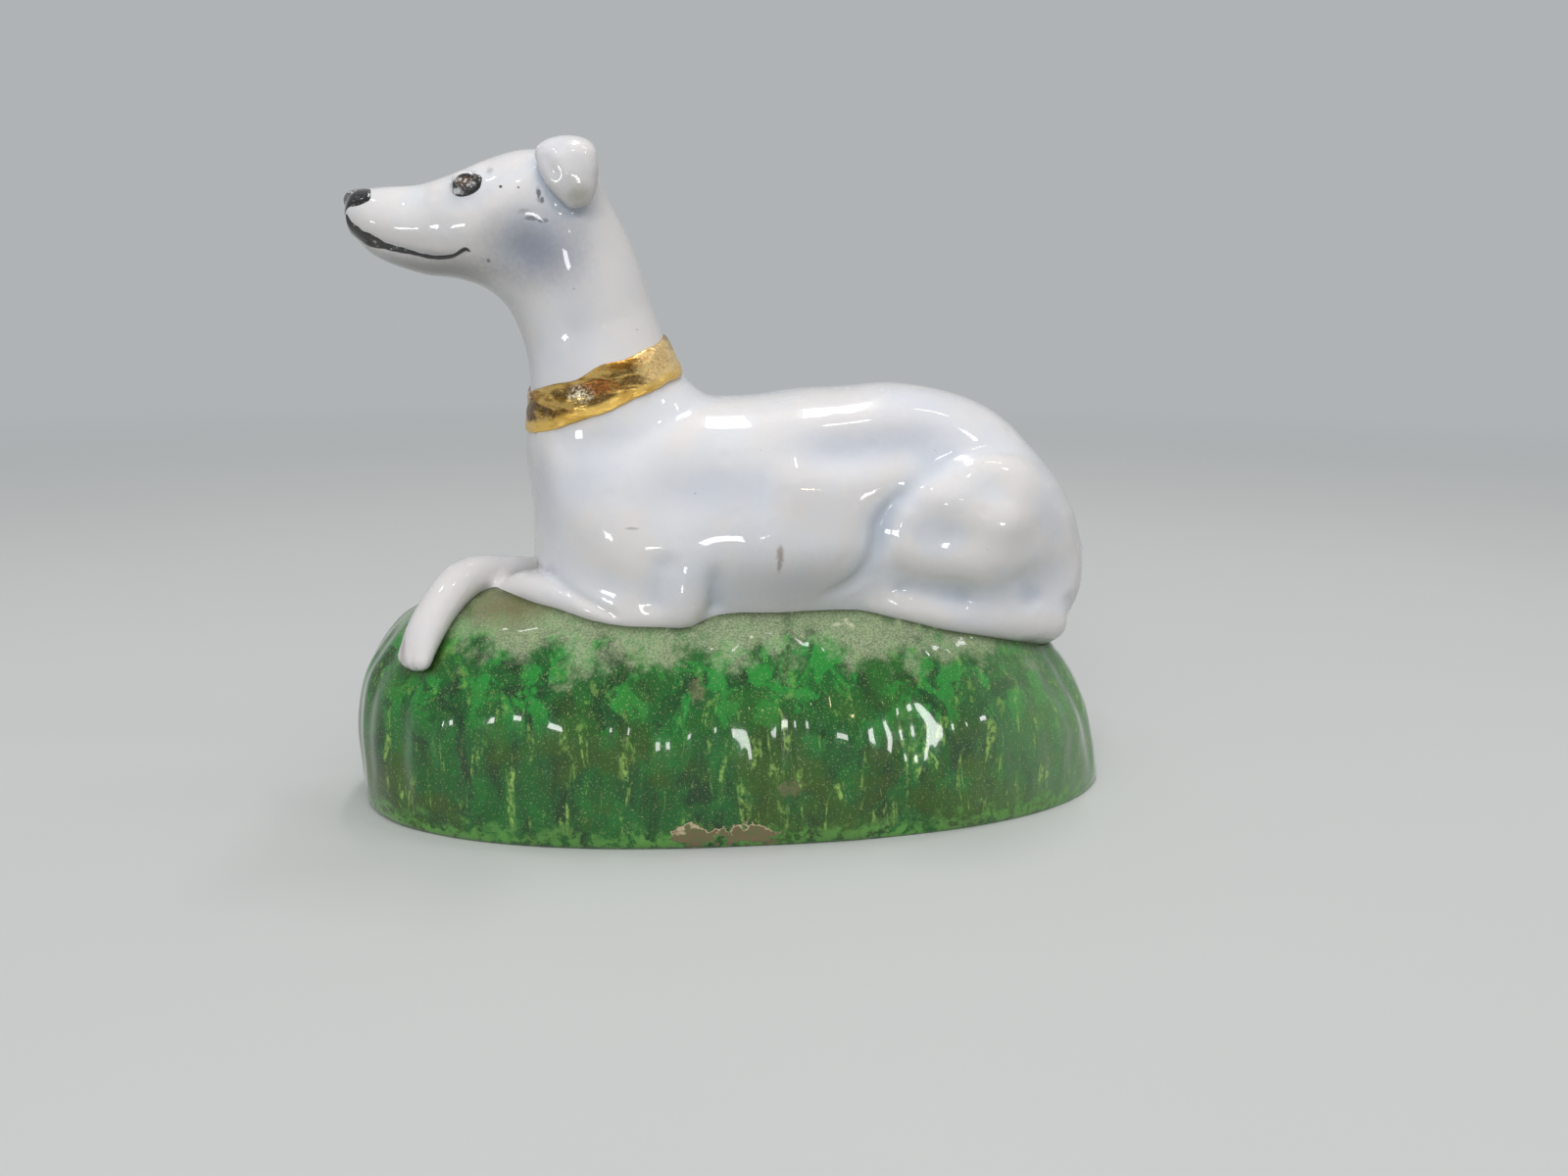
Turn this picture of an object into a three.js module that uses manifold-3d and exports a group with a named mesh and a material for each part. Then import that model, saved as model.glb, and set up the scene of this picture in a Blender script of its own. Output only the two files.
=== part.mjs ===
// A small glazed pottery dog, a recumbent whippet on a grassy mound, at its real size.
// Millimetres. +Z is up, +X runs from the dog's nose towards its rump and +Y is the dog's right.
// The origin is on the table, under the middle of the mound's foot.
//
// The figure is made as the potter made it: each clay part is formed by itself and luted to its
// neighbours with a film of slip. A bed is cut in a neighbour wherever one part sits in another.
import * as THREE from "three";
import { mergeVertices } from "three/addons/utils/BufferGeometryUtils.js";
import Module from "manifold-3d";

const wasm = await Module();
wasm.setup();

// Body of the dog
const bodyLength = 44.5;
const bodyWidth = 18.6;
const backRise = 14.25;
const bellySink = 6.6;
const chestCap = 3.0;
const rumpCap = 2.0;

// Mound: the grass that shows beyond the dog, and the shape of its surface
const frontLedge = 13.85;
const rearLedge = 2.75;
const sideLedge = 4.6;
const moundHeight = 18.3;
const crownFall = 3.0;
const footInset = 0.5;
const footRise = 3.2;
const rearLean = 0.19;
const planPower = 2.28;
const endShoulder = 3.8;
const sideShoulder = 3.0;
const mouldWall = 3.0;
const crownWall = 5.2;

// Slip film between two luted parts
const slipGap = 0.3;

// Neck, collar and head
const collarWidth = 2.9;
const collarProud = 0.35;
const collarSunk = 0.6;
const collarTilt = 21;
const collarRoll = 5;
const collarSetback = 6.0;
const collarLift = 1.8;
const neckHalfWidth = 5.2;
const headReach = 17.2;
const headRise = 16.4;
const headHalfWidth = 4.5;
const muzzleCap = 0.8;
const eyeLength = 2.1;
const eyeHeight = 1.7;
const eyeDepth = 0.9;
const noseWidth = 2.0;
const noseHeight = 1.5;
const noseLength = 1.6;

// Ears
const earWidth = 4.0;
const earThickness = 1.1;
const earDrop = 4.6;
const rightEarForward = 0.6;

// Legs and tail
const upperArmWidth = 7.2;
const upperArmThickness = 4.2;
const forearmThickness = 2.7;
const wristThickness = 2.8;
const pawWidth = 2.9;
const haunchLength = 16.6;
const haunchRise = 9.8;
const haunchDepth = 7.0;
const hindFootThickness = 3.7;
const hindToeWidth = 3.6;
const heelInset = 1.4;
const heelTuck = 2.8;
const hockEnd = 1.2;
const tailRoot = 3.2;
const tailTip = 1.5;

// Facets
const bodySides = 24;
const limbSides = 10;
const moundSides = 52;
const moundRings = 10;
const hollowSides = 32;
const hollowRings = 6;
const capRings = 3;

const whiteGlaze = new THREE.MeshStandardMaterial({ color: 0xd9dbe2, roughness: 0.14, metalness: 0 });
const greenGlaze = new THREE.MeshStandardMaterial({ color: 0x2f6b2c, roughness: 0.12, metalness: 0 });
const gilding = new THREE.MeshStandardMaterial({ color: 0xc79a45, roughness: 0.25, metalness: 1 });

// The mound is as long and as wide as the dog and its ledges
const moundLength = frontLedge + bodyLength + rearLedge;
const moundWidth = bodyWidth + 2 * sideLedge;
const chestX = frontLedge - moundLength / 2;
const rumpX = chestX + bodyLength;
const halfBody = bodyWidth / 2;

// Heights on the dog are measured from the mound's crown
function up(height) {
  return moundHeight + height;
}

// Places along the dog, and along the ledge in front of its chest
function alongBody(share) {
  return chestX + share * bodyLength;
}

function aheadOfChest(share) {
  return chestX - share * frontLedge;
}

// Closed skin over a row of rings, with a pole at each end
function skin(rings, startPole, endPole) {
  const sides = rings[0].length;
  const points = [startPole, ...rings.flat(), endPole];
  const faces = [];
  const last = points.length - 1;
  for (let i = 0; i < sides; i++) {
    const next = (i + 1) % sides;
    faces.push(0, 1 + next, 1 + i);
    for (let r = 0; r < rings.length - 1; r++) {
      const a = 1 + r * sides;
      const b = a + sides;
      faces.push(a + i, a + next, b + next, a + i, b + next, b + i);
    }
    const top = 1 + (rings.length - 1) * sides;
    faces.push(last, top + i, top + next);
  }
  const geometry = new THREE.BufferGeometry().setFromPoints(points);
  geometry.setIndex(faces);
  return geometry;
}

// Rounded section: an ellipse squared off by its power, in the plane of two unit vectors
function ringAt(centre, wide, tall, halfWide, halfTall, power, sides) {
  const ring = [];
  for (let i = 0; i < sides; i++) {
    const angle = (2 * Math.PI * i) / sides;
    const c = Math.cos(angle);
    const s = Math.sin(angle);
    const u = Math.sign(c) * Math.abs(c) ** (2 / power) * halfWide;
    const v = Math.sign(s) * Math.abs(s) ** (2 / power) * halfTall;
    ring.push(centre.clone().addScaledVector(wide, u).addScaledVector(tall, v));
  }
  return ring;
}

// Rings over a list of frames, closed by a dome at each end
function domedLoft(frames, startCap, endCap, sides) {
  const rings = [];
  const dome = (frame, reach, k) => {
    const angle = (k / capRings) * (Math.PI / 2);
    const centre = frame.centre.clone().addScaledVector(frame.along, reach * Math.sin(angle));
    const scale = Math.cos(angle);
    const { wide, tall, halfWide, halfTall, power } = frame;
    return ringAt(centre, wide, tall, halfWide * scale, halfTall * scale, power, sides);
  };
  const first = frames[0];
  const last = frames[frames.length - 1];
  for (let k = capRings - 1; k > 0; k--) {
    rings.push(dome(first, -startCap, k));
  }
  for (const f of frames) {
    rings.push(ringAt(f.centre, f.wide, f.tall, f.halfWide, f.halfTall, f.power, sides));
  }
  for (let k = 1; k < capRings; k++) {
    rings.push(dome(last, endCap, k));
  }
  const startPole = first.centre.clone().addScaledVector(first.along, -startCap);
  const endPole = last.centre.clone().addScaledVector(last.along, endCap);
  return skin(rings, startPole, endPole);
}

// Loft between an upper and a lower profile line in the mid-plane. Each station joins a point of
// one line to a point of the other and says how wide and how square the body is there.
function railLoft(stations, steps, caps, grow = 0) {
  const upper = new THREE.CatmullRomCurve3(stations.map((s) => new THREE.Vector3(s.top[0], 0, s.top[1])));
  const lower = new THREE.CatmullRomCurve3(stations.map((s) => new THREE.Vector3(s.low[0], 0, s.low[1])));
  const girth = new THREE.CatmullRomCurve3(stations.map((s) => new THREE.Vector3(s.half, s.power ?? 2, 0)));
  const frames = [];
  for (let k = 0; k <= steps; k++) {
    const top = upper.getPoint(k / steps);
    const low = lower.getPoint(k / steps);
    const size = girth.getPoint(k / steps);
    const centre = top.clone().add(low).multiplyScalar(0.5);
    const tall = top.clone().sub(low).normalize();
    const halfTall = top.distanceTo(low) / 2 + grow;
    frames.push({ centre, tall, halfTall, halfWide: size.x + grow, power: size.y });
  }
  frames.forEach((frame, k) => {
    const before = frames[Math.max(k - 1, 0)].centre;
    const after = frames[Math.min(k + 1, steps)].centre;
    const travel = after.clone().sub(before);
    const side = Math.sign(frame.tall.clone().cross(travel).y);
    frame.wide = new THREE.Vector3(0, side, 0);
    frame.along = frame.wide.clone().cross(frame.tall);
  });
  return domedLoft(frames, caps[0] + grow, caps[1] + grow, bodySides);
}

// Loft along a curved spine. Each station has its place, its width and its height; the height
// lies along the given direction as nearly as the spine lets it.
function spineLoft(stations, steps, caps, upward, grow = 0, power = 2) {
  const spine = new THREE.CatmullRomCurve3(stations.map((s) => s.at));
  const girth = new THREE.CatmullRomCurve3(stations.map((s) => new THREE.Vector3(s.wide, s.tall, 0)));
  const frames = [];
  for (let k = 0; k <= steps; k++) {
    const centre = spine.getPoint(k / steps);
    const along = spine.getTangent(k / steps);
    const size = girth.getPoint(k / steps);
    const tall = upward.clone().addScaledVector(along, -upward.dot(along)).normalize();
    const wide = tall.clone().cross(along);
    const halfWide = size.x / 2 + grow;
    const halfTall = size.y / 2 + grow;
    frames.push({ centre, along, wide, tall, halfWide, halfTall, power });
  }
  return domedLoft(frames, caps[0] + grow, caps[1] + grow, limbSides);
}

function toSolid(geometry) {
  const bare = geometry.clone();
  bare.deleteAttribute("normal");
  bare.deleteAttribute("uv");
  const merged = mergeVertices(bare, 1e-5);
  const vertProperties = new Float32Array(merged.attributes.position.array);
  const triVerts = new Uint32Array(merged.index.array);
  return new wasm.Manifold(new wasm.Mesh({ numProp: 3, vertProperties, triVerts }));
}

function toMesh(name, solid, material) {
  const cut = solid.getMesh();
  const geometry = new THREE.BufferGeometry();
  geometry.setAttribute("position", new THREE.BufferAttribute(new Float32Array(cut.vertProperties), 3));
  geometry.setIndex(new THREE.BufferAttribute(new Uint32Array(cut.triVerts), 1));
  geometry.computeVertexNormals();
  const mesh = new THREE.Mesh(geometry, material);
  mesh.name = name;
  return mesh;
}

// Height of the mound's crown line at a place along its length
function crownAt(x) {
  return moundHeight - crownFall * (x / moundLength + 0.25);
}

// Sharpness of the mound's shoulder: fuller at its ends than along its sides
function shoulderAt(endOn) {
  return THREE.MathUtils.lerp(sideShoulder, endShoulder, endOn);
}

// Height of the mound's surface over a point of its plan
function moundTop(x, y) {
  const endOn = Math.abs((2 * x) / moundLength) ** planPower;
  const sideOn = Math.abs((2 * y) / moundWidth) ** planPower;
  const reach = Math.min((endOn + sideOn) ** (1 / planPower), 0.99);
  const shoulder = shoulderAt(endOn / (endOn + sideOn));
  return crownAt(x) * (1 - reach ** shoulder) ** (1 / shoulder);
}

// Mound: level rings of one plan shape, drawn in towards the crown, with the rear end leaning in
function moundGeometry(grow, lowest, sides, levels) {
  const halfLength = moundLength / 2 + grow;
  const halfWidth = moundWidth / 2 + grow;
  const rings = [];
  for (let r = 0; r < levels; r++) {
    const rise = Math.sin(((r / levels) * Math.PI) / 2);
    const ring = [];
    for (let i = 0; i < sides; i++) {
      const angle = (2 * Math.PI * i) / sides;
      const c = Math.cos(angle);
      const s = Math.sin(angle);
      const shoulder = shoulderAt(c * c);
      const reach = (1 - rise ** shoulder) ** (1 / shoulder);
      const planX = Math.sign(c) * Math.abs(c) ** (2 / planPower) * reach;
      const planY = Math.sign(s) * Math.abs(s) ** (2 / planPower) * reach;
      const z = rise * (crownAt(planX * halfLength) + grow);
      const low = Math.max(1 - z / footRise, 0) ** 2;
      const rear = Math.max(planX, 0);
      const x = planX * (halfLength - footInset * low * (1 - rear)) - rearLean * z * rear ** 2;
      const y = planY * (halfWidth - footInset * low);
      ring.push(new THREE.Vector3(x, y, r === 0 ? lowest : z));
    }
    rings.push(ring);
  }
  return skin(rings, new THREE.Vector3(0, 0, lowest), new THREE.Vector3(0, 0, crownAt(0) + grow));
}

function moundSolid(grow = 0, lowest = 0) {
  return toSolid(moundGeometry(grow, lowest, moundSides, moundRings));
}

// Hollow under the mound: the same form, smaller by the wall and lower at the crown
function moundHollow() {
  const inner = toSolid(moundGeometry(-mouldWall, -1, hollowSides, hollowRings));
  return inner.translate([0, 0, mouldWall - crownWall]);
}

// Torso, front to rear: places of the back and the belly along the body, with the height of the
// back as a share of the croup's, the depth of the belly as a share of its middle's, and the
// width as a share of the ribs'.
const torsoRows = [
  { back: [0.075, 0.884], belly: [0.105, 0.3], wide: 0.71 },
  { back: [0.13, 0.912], belly: [0.15, 0.7], wide: 0.86 },
  { back: [0.23, 0.933], belly: [0.24, 0.94], wide: 0.97 },
  { back: [0.37, 0.937], belly: [0.36, 1.0], wide: 1.0 },
  { back: [0.52, 0.979], belly: [0.5, 0.97], wide: 0.957 },
  { back: [0.67, 1.0], belly: [0.63, 0.94], wide: 0.88 },
  { back: [0.82, 0.863], belly: [0.75, 1.0], wide: 0.828 },
  { back: [0.925, 0.589], belly: [0.85, 1.09], wide: 0.742 },
  { back: [0.985, 0.309], belly: [0.91, 1.21], wide: 0.624 },
];

function torsoSolid(grow = 0) {
  const stations = torsoRows.map((row) => ({
    top: [alongBody(row.back[0]), up(row.back[1] * backRise)],
    low: [alongBody(row.belly[0]), up(-row.belly[1] * bellySink)],
    half: row.wide * halfBody,
    power: 2.3,
  }));
  return toSolid(railLoft(stations, 20, [chestCap, rumpCap], grow));
}

// The collar lies round the base of the neck, a little above the withers
const collarX = chestX + collarSetback;
const collarRise = torsoRows[0].back[1] * backRise + collarLift;

// Neck, from inside the chest up to the skull, and head, on to the muzzle. Each row has a place
// on the nape line and on the throat line: forward and up from the middle of the collar, as
// shares of the head's reach and rise.
const neckRows = [
  { nape: [-0.651, -0.134], throat: [0.314, -0.671], half: 1.42 * neckHalfWidth },
  { nape: [-0.442, -0.043], throat: [0.337, -0.402], half: 1.23 * neckHalfWidth },
  { nape: [-0.355, 0.049], throat: [0.326, -0.22], half: 1.115 * neckHalfWidth },
  { nape: [-0.297, 0.165], throat: [0.308, -0.073], half: neckHalfWidth },
  { nape: [-0.238, 0.329], throat: [0.32, 0.146], half: 0.865 * neckHalfWidth },
  { nape: [-0.157, 0.591], throat: [0.384, 0.317], half: 0.96 * headHalfWidth },
  { nape: [-0.07, 0.78], throat: [0.471, 0.402], half: headHalfWidth },
  { nape: [-0.006, 0.909], throat: [0.57, 0.442], half: headHalfWidth },
  { nape: [0.11, 0.994], throat: [0.645, 0.454], half: 0.97 * headHalfWidth },
  { nape: [0.273, 1.0], throat: [0.709, 0.46], half: 0.89 * headHalfWidth },
  { nape: [0.424, 0.963], throat: [0.773, 0.476], half: 0.78 * headHalfWidth },
  { nape: [0.576, 0.896], throat: [0.831, 0.494], half: 0.67 * headHalfWidth },
  { nape: [0.715, 0.848], throat: [0.89, 0.518], half: 0.58 * headHalfWidth },
  { nape: [0.86, 0.832], throat: [0.948, 0.555], half: 0.52 * headHalfWidth },
  { nape: [0.959, 0.82], throat: [1.0, 0.616], half: 0.43 * headHalfWidth },
];

// A place in the head or neck: forward, sideways and up from the middle of the collar
function onHead(forward, aside, rise) {
  return new THREE.Vector3(collarX - forward * headReach, aside, up(collarRise + rise * headRise));
}

function neckSolid(grow = 0) {
  const stations = neckRows.map(({ nape, throat, half }) => {
    const top = onHead(nape[0], 0, nape[1]);
    const low = onHead(throat[0], 0, throat[1]);
    return { top: [top.x, top.z], low: [low.x, low.z], half };
  });
  return toSolid(railLoft(stations, 28, [0.5, muzzleCap], grow));
}

// Plane across the neck at a distance above the middle of the collar
const lean = THREE.MathUtils.degToRad(collarTilt);
const roll = THREE.MathUtils.degToRad(collarRoll);
const neckAxis = new THREE.Vector3(-Math.sin(lean), -Math.sin(roll), Math.cos(lean)).normalize();
const collarMiddle = onHead(0, 0, 0);

function above(solid, offset) {
  return solid.trimByPlane(neckAxis.toArray(), neckAxis.dot(collarMiddle) + offset);
}

function below(solid, offset) {
  const down = neckAxis.clone().negate();
  return solid.trimByPlane(down.toArray(), down.dot(collarMiddle) - offset);
}

// Band of the neck between two planes, as wide as the collar and a little more
function neckBand(grow, more) {
  const half = collarWidth / 2 + more;
  return below(above(neckSolid(grow), -half), half);
}

// Raised clay strip round the base of the neck, seated in a shallow groove
function collarSolid() {
  return neckBand(collarProud, 0).subtract(neckSolid(-collarSunk));
}

function collarGroove() {
  return neckBand(collarProud + slipGap, slipGap).subtract(neckSolid(-collarSunk - slipGap));
}

function ellipsoid(at, length, width, height) {
  const ball = new THREE.SphereGeometry(0.5, 12, 8);
  ball.scale(length, width, height);
  ball.translate(at.x, at.y, at.z);
  return toSolid(ball);
}

// Moulded swelling of each eye, and the nose
function faceDetails() {
  const eye = (side) => {
    const at = onHead(0.488, side * 0.7 * headHalfWidth, 0.829);
    return ellipsoid(at, eyeLength, eyeDepth, eyeHeight);
  };
  const nose = ellipsoid(onHead(0.994, 0, 0.768), noseLength, noseWidth, noseHeight);
  return eye(-1).add(eye(1)).add(nose);
}

// Folded ear: a flap that rises from the back of the skull, turns over and hangs down its side
function earSolid(side, grow = 0) {
  const forward = side > 0 ? rightEarForward : 0;
  const place = (reach, out, drop) => {
    const at = onHead(reach, side * (headHalfWidth + out), 0.994);
    return at.add(new THREE.Vector3(-forward, 0, -drop * earDrop));
  };
  const thick = earThickness;
  const stations = [
    { at: place(0.151, -0.58 * headHalfWidth, 0.28), wide: 0.85 * earWidth, tall: 1.4 * thick },
    { at: place(0.128, -0.22 * headHalfWidth, 0), wide: earWidth, tall: 1.2 * thick },
    { at: place(0.11, 0.32 * thick, 0.16), wide: earWidth, tall: thick },
    { at: place(0.105, 0.68 * thick, 0.55), wide: 0.95 * earWidth, tall: thick },
    { at: place(0.093, 0.45 * thick, 0.92), wide: 0.6 * earWidth, tall: 0.8 * thick },
  ];
  const outward = new THREE.Vector3(0, side, 1);
  return toSolid(spineLoft(stations, 10, [0.45 * thick, 0.36 * thick], outward, grow));
}

// A place on the mound for a limb's middle line, sunk or raised from the mound's surface
function onMound(x, out, rise) {
  const y = out * halfBody;
  return new THREE.Vector3(x, y, moundTop(x, y) + rise);
}

const upright = new THREE.Vector3(0, 0, 1);

// Shoulder and upper arm, flat against the ribs, down to the elbow
function upperArm(side, grow) {
  const place = (share, out, rise) => {
    return new THREE.Vector3(alongBody(share), side * out * halfBody, up(rise * backRise));
  };
  const wide = upperArmWidth;
  const thick = upperArmThickness;
  const stations = [
    { at: place(0.16, 0.69, 0.44), wide: 1.1 * wide, tall: 0.8 * thick },
    { at: place(0.205, 0.79, 0.19), wide: 1.1 * wide, tall: thick },
    { at: place(0.262, 0.82, -0.06), wide: 0.72 * wide, tall: thick },
  ];
  const outward = new THREE.Vector3(0, side, 0);
  return toSolid(spineLoft(stations, 6, [0.28 * wide, 0.2 * wide], outward, grow));
}

// Left foreleg: the forearm lies along the mound and passes under the right one
function leftForelegSolid(grow = 0) {
  const thick = forearmThickness;
  const wrist = wristThickness;
  const stations = [
    { at: onMound(alongBody(0.274), -0.86, 0.11 * thick), wide: 1.35 * thick, tall: 1.35 * thick },
    { at: onMound(alongBody(0.169), -0.86, 0.04 * thick), wide: 1.1 * thick, tall: 1.1 * thick },
    { at: onMound(alongBody(0.05), -0.58, 0), wide: thick, tall: thick },
    { at: onMound(alongBody(0.01), -0.45, 0), wide: thick, tall: thick },
    { at: onMound(aheadOfChest(0.13), -0.25, -0.4 * wrist), wide: 0.85 * wrist, tall: 0.8 * wrist },
    { at: onMound(aheadOfChest(0.375), 0.15, -0.28 * wrist), wide: 0.9 * wrist, tall: 0.8 * wrist },
    { at: onMound(aheadOfChest(0.592), 0.58, 0.04 * wrist), wide: pawWidth, tall: 0.75 * wrist },
    { at: onMound(aheadOfChest(0.664), 0.75, 0.11 * wrist), wide: pawWidth, tall: 0.65 * wrist },
  ];
  const forearm = toSolid(spineLoft(stations, 16, [0.44 * thick, 0.32 * wrist], upright, grow));
  return forearm.add(upperArm(-1, grow));
}

// Right foreleg: the forearm comes out from under the chest, arches over and lies down the front
function rightForelegSolid(grow = 0) {
  const thick = forearmThickness;
  const wrist = wristThickness;
  const stations = [
    { at: onMound(alongBody(0.274), 0.86, 0.11 * thick), wide: 1.35 * thick, tall: 1.35 * thick },
    { at: onMound(alongBody(0.169), 0.74, 0.18 * thick), wide: 1.1 * thick, tall: 1.1 * thick },
    { at: onMound(alongBody(0.034), 0.25, 0), wide: thick, tall: thick },
    { at: onMound(aheadOfChest(0.2), -0.21, 0.3 * wrist), wide: 0.95 * wrist, tall: 0.95 * wrist },
    { at: onMound(aheadOfChest(0.38), -0.49, 0.23 * wrist), wide: 0.95 * wrist, tall: wrist },
    { at: onMound(aheadOfChest(0.485), -0.69, 0.18 * wrist), wide: pawWidth, tall: 0.85 * wrist },
    { at: onMound(aheadOfChest(0.535), -0.78, 0.13 * wrist), wide: 0.95 * pawWidth, tall: 0.7 * wrist },
  ];
  const forearm = toSolid(spineLoft(stations, 16, [0.44 * thick, 0.29 * wrist], upright, grow));
  return forearm.add(upperArm(1, grow));
}

const haunchX = alongBody(0.77);
const kneeX = haunchX - haunchLength / 2;
const hipX = haunchX + haunchLength / 2;
const flank = 1.03 * halfBody;

// Back end of the hind foot. The right heel is tucked forward, which leaves the tail its way round.
function heelX(side) {
  return hipX - heelInset - (side > 0 ? heelTuck : 0);
}

// Hind leg: the haunch, and under it the shank and foot that lie forward along the mound
function hindLegSolid(side, grow = 0) {
  const thick = hindFootThickness;
  const footRows = [
    { at: onMound(heelX(side), 0.5 * side, 0.3 * thick), wide: 1.1 * thick, tall: 1.1 * thick },
    { at: onMound(haunchX + 0.09 * haunchLength, 0.68 * side, 0.13 * thick), wide: thick, tall: thick },
    { at: onMound(kneeX + 0.2 * haunchLength, 0.7 * side, 0.11 * thick), wide: thick, tall: 0.9 * thick },
    { at: onMound(kneeX, 0.64 * side, 0.1 * thick), wide: hindToeWidth, tall: 0.75 * thick },
  ];
  const foot = toSolid(spineLoft(footRows, 9, [hockEnd, 0.35 * thick], upright, grow));
  // Each row of the haunch stands on the foot and reaches up to a share of its rise
  const haunchRow = (x, out, rise, wide) => {
    const low = onMound(x, 0.75 * side, 0.35 * thick).z;
    const high = up(rise * haunchRise);
    const at = new THREE.Vector3(x, side * (flank - haunchDepth / 2 + out), (low + high) / 2);
    return { at, wide: wide * haunchDepth, tall: high - low };
  };
  const haunchRows = [
    haunchRow(hipX - 0.16 * haunchLength, -0.2 * haunchDepth, 0.68, 0.6),
    haunchRow(haunchX, 0, 1, 1),
    haunchRow(kneeX + 0.16 * haunchLength, 0.06 * haunchDepth, 0.76, 0.68),
  ];
  const ends = [0.145 * haunchLength, 0.16 * haunchLength];
  const haunch = toSolid(spineLoft(haunchRows, 8, ends, upright, grow, 2.1));
  return haunch.add(foot);
}

// Tail: down the rump, then round the right hock and forward between the haunch and the grass
function tailSolid(grow = 0) {
  const size = (share) => THREE.MathUtils.lerp(tailRoot, tailTip, share);
  const onRump = (share, out, rise) => {
    return new THREE.Vector3(alongBody(share), out * halfBody, up(rise * backRise));
  };
  const behindHock = heelX(1) + hockEnd + slipGap + 0.55 * size(0.4);
  const besideLeg = (share) => (flank + slipGap + 0.6 * size(share)) / halfBody;
  const rows = [
    { at: onRump(0.912, 0, 0.4), share: 0 },
    { at: onRump(0.96, 0.01, 0.14), share: 0.1 },
    { at: onRump(0.973, 0.05, -0.126), share: 0.2 },
    { at: onRump(0.97, 0.25, -0.393), share: 0.3 },
    { at: onMound(behindHock, 0.6, 0.2 * size(0.4)), share: 0.4 },
    { at: onMound(behindHock - 0.21 * haunchLength, 0.97, 0.16 * size(0.55)), share: 0.55 },
    { at: onMound(haunchX - 0.11 * haunchLength, besideLeg(0.7), 0.15 * size(0.7)), share: 0.7 },
    { at: onMound(haunchX - 0.47 * haunchLength, besideLeg(0.9) + 0.06, 0.1 * size(0.9)), share: 0.9 },
    { at: onMound(haunchX - 0.71 * haunchLength, besideLeg(1) + 0.05, 0.12 * size(1)), share: 1 },
  ];
  const stations = rows.map((row) => ({ at: row.at, wide: size(row.share), tall: size(row.share) }));
  const outward = new THREE.Vector3(1, 1, 0.4).normalize();
  return toSolid(spineLoft(stations, 18, [0.31 * tailRoot, 0.47 * tailTip], outward, grow));
}

// The right foreleg crosses over the left, the hind legs and the tail lie beside the body
const rightForeleg = rightForelegSolid();
const leftForeleg = leftForelegSolid().subtract(rightForelegSolid(slipGap));
const leftHindLeg = hindLegSolid(-1);
const rightHindLeg = hindLegSolid(1);
const tail = tailSolid().subtract(hindLegSolid(1, slipGap));

// Beds that the legs and the tail leave in the torso and the mound
const beds = [
  leftForelegSolid(slipGap),
  rightForelegSolid(slipGap),
  hindLegSolid(-1, slipGap),
  hindLegSolid(1, slipGap),
  tailSolid(slipGap),
].reduce((all, bed) => all.add(bed));

const joint = collarWidth / 8;
const neckStub = below(neckSolid(), -joint - slipGap);
const torso = torsoSolid()
  .add(neckStub)
  .subtract(collarGroove())
  .subtract(beds)
  .subtract(moundSolid(slipGap, -1));
const head = above(neckSolid(), -joint).add(faceDetails()).subtract(collarGroove());
const mound = moundSolid().subtract(moundHollow()).subtract(beds);

const dog = new THREE.Group();
dog.add(toMesh("torso", torso, whiteGlaze));
dog.add(toMesh("neck_and_head", head, whiteGlaze));
for (const [name, side] of [["left_ear", -1], ["right_ear", 1]]) {
  const ear = earSolid(side).subtract(neckSolid(slipGap));
  dog.add(toMesh(name, ear, whiteGlaze));
}
dog.add(toMesh("left_foreleg", leftForeleg, whiteGlaze));
dog.add(toMesh("right_foreleg", rightForeleg, whiteGlaze));
dog.add(toMesh("left_hind_leg", leftHindLeg, whiteGlaze));
dog.add(toMesh("right_hind_leg", rightHindLeg, whiteGlaze));
dog.add(toMesh("tail", tail, whiteGlaze));
dog.add(toMesh("collar_band", collarSolid(), gilding));

const figure = new THREE.Group();
figure.add(dog);
figure.add(toMesh("mound_base", mound, greenGlaze));

export default figure;
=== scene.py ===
import math

import bpy
import numpy as np
from mathutils import Matrix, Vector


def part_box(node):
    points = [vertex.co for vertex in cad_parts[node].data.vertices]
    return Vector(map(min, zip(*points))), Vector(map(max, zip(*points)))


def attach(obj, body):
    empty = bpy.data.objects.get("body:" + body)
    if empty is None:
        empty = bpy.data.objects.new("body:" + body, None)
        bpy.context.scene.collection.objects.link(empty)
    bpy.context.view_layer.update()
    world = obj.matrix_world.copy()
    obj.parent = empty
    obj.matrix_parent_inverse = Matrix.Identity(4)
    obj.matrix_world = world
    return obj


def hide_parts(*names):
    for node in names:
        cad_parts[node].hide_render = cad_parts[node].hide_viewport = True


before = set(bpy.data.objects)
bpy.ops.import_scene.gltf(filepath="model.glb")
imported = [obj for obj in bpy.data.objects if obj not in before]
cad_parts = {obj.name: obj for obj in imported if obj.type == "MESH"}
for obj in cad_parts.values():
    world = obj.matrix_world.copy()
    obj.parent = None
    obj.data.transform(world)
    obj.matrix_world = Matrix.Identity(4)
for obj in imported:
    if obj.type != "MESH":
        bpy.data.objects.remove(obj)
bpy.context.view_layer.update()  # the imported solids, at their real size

# A small glazed pottery whippet on a grassy mound. Lengths are millimetres until a mesh is made.
# +X runs from the nose to the rump, the dog's left side faces the viewer at -Y.
mm = 0.001

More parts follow.
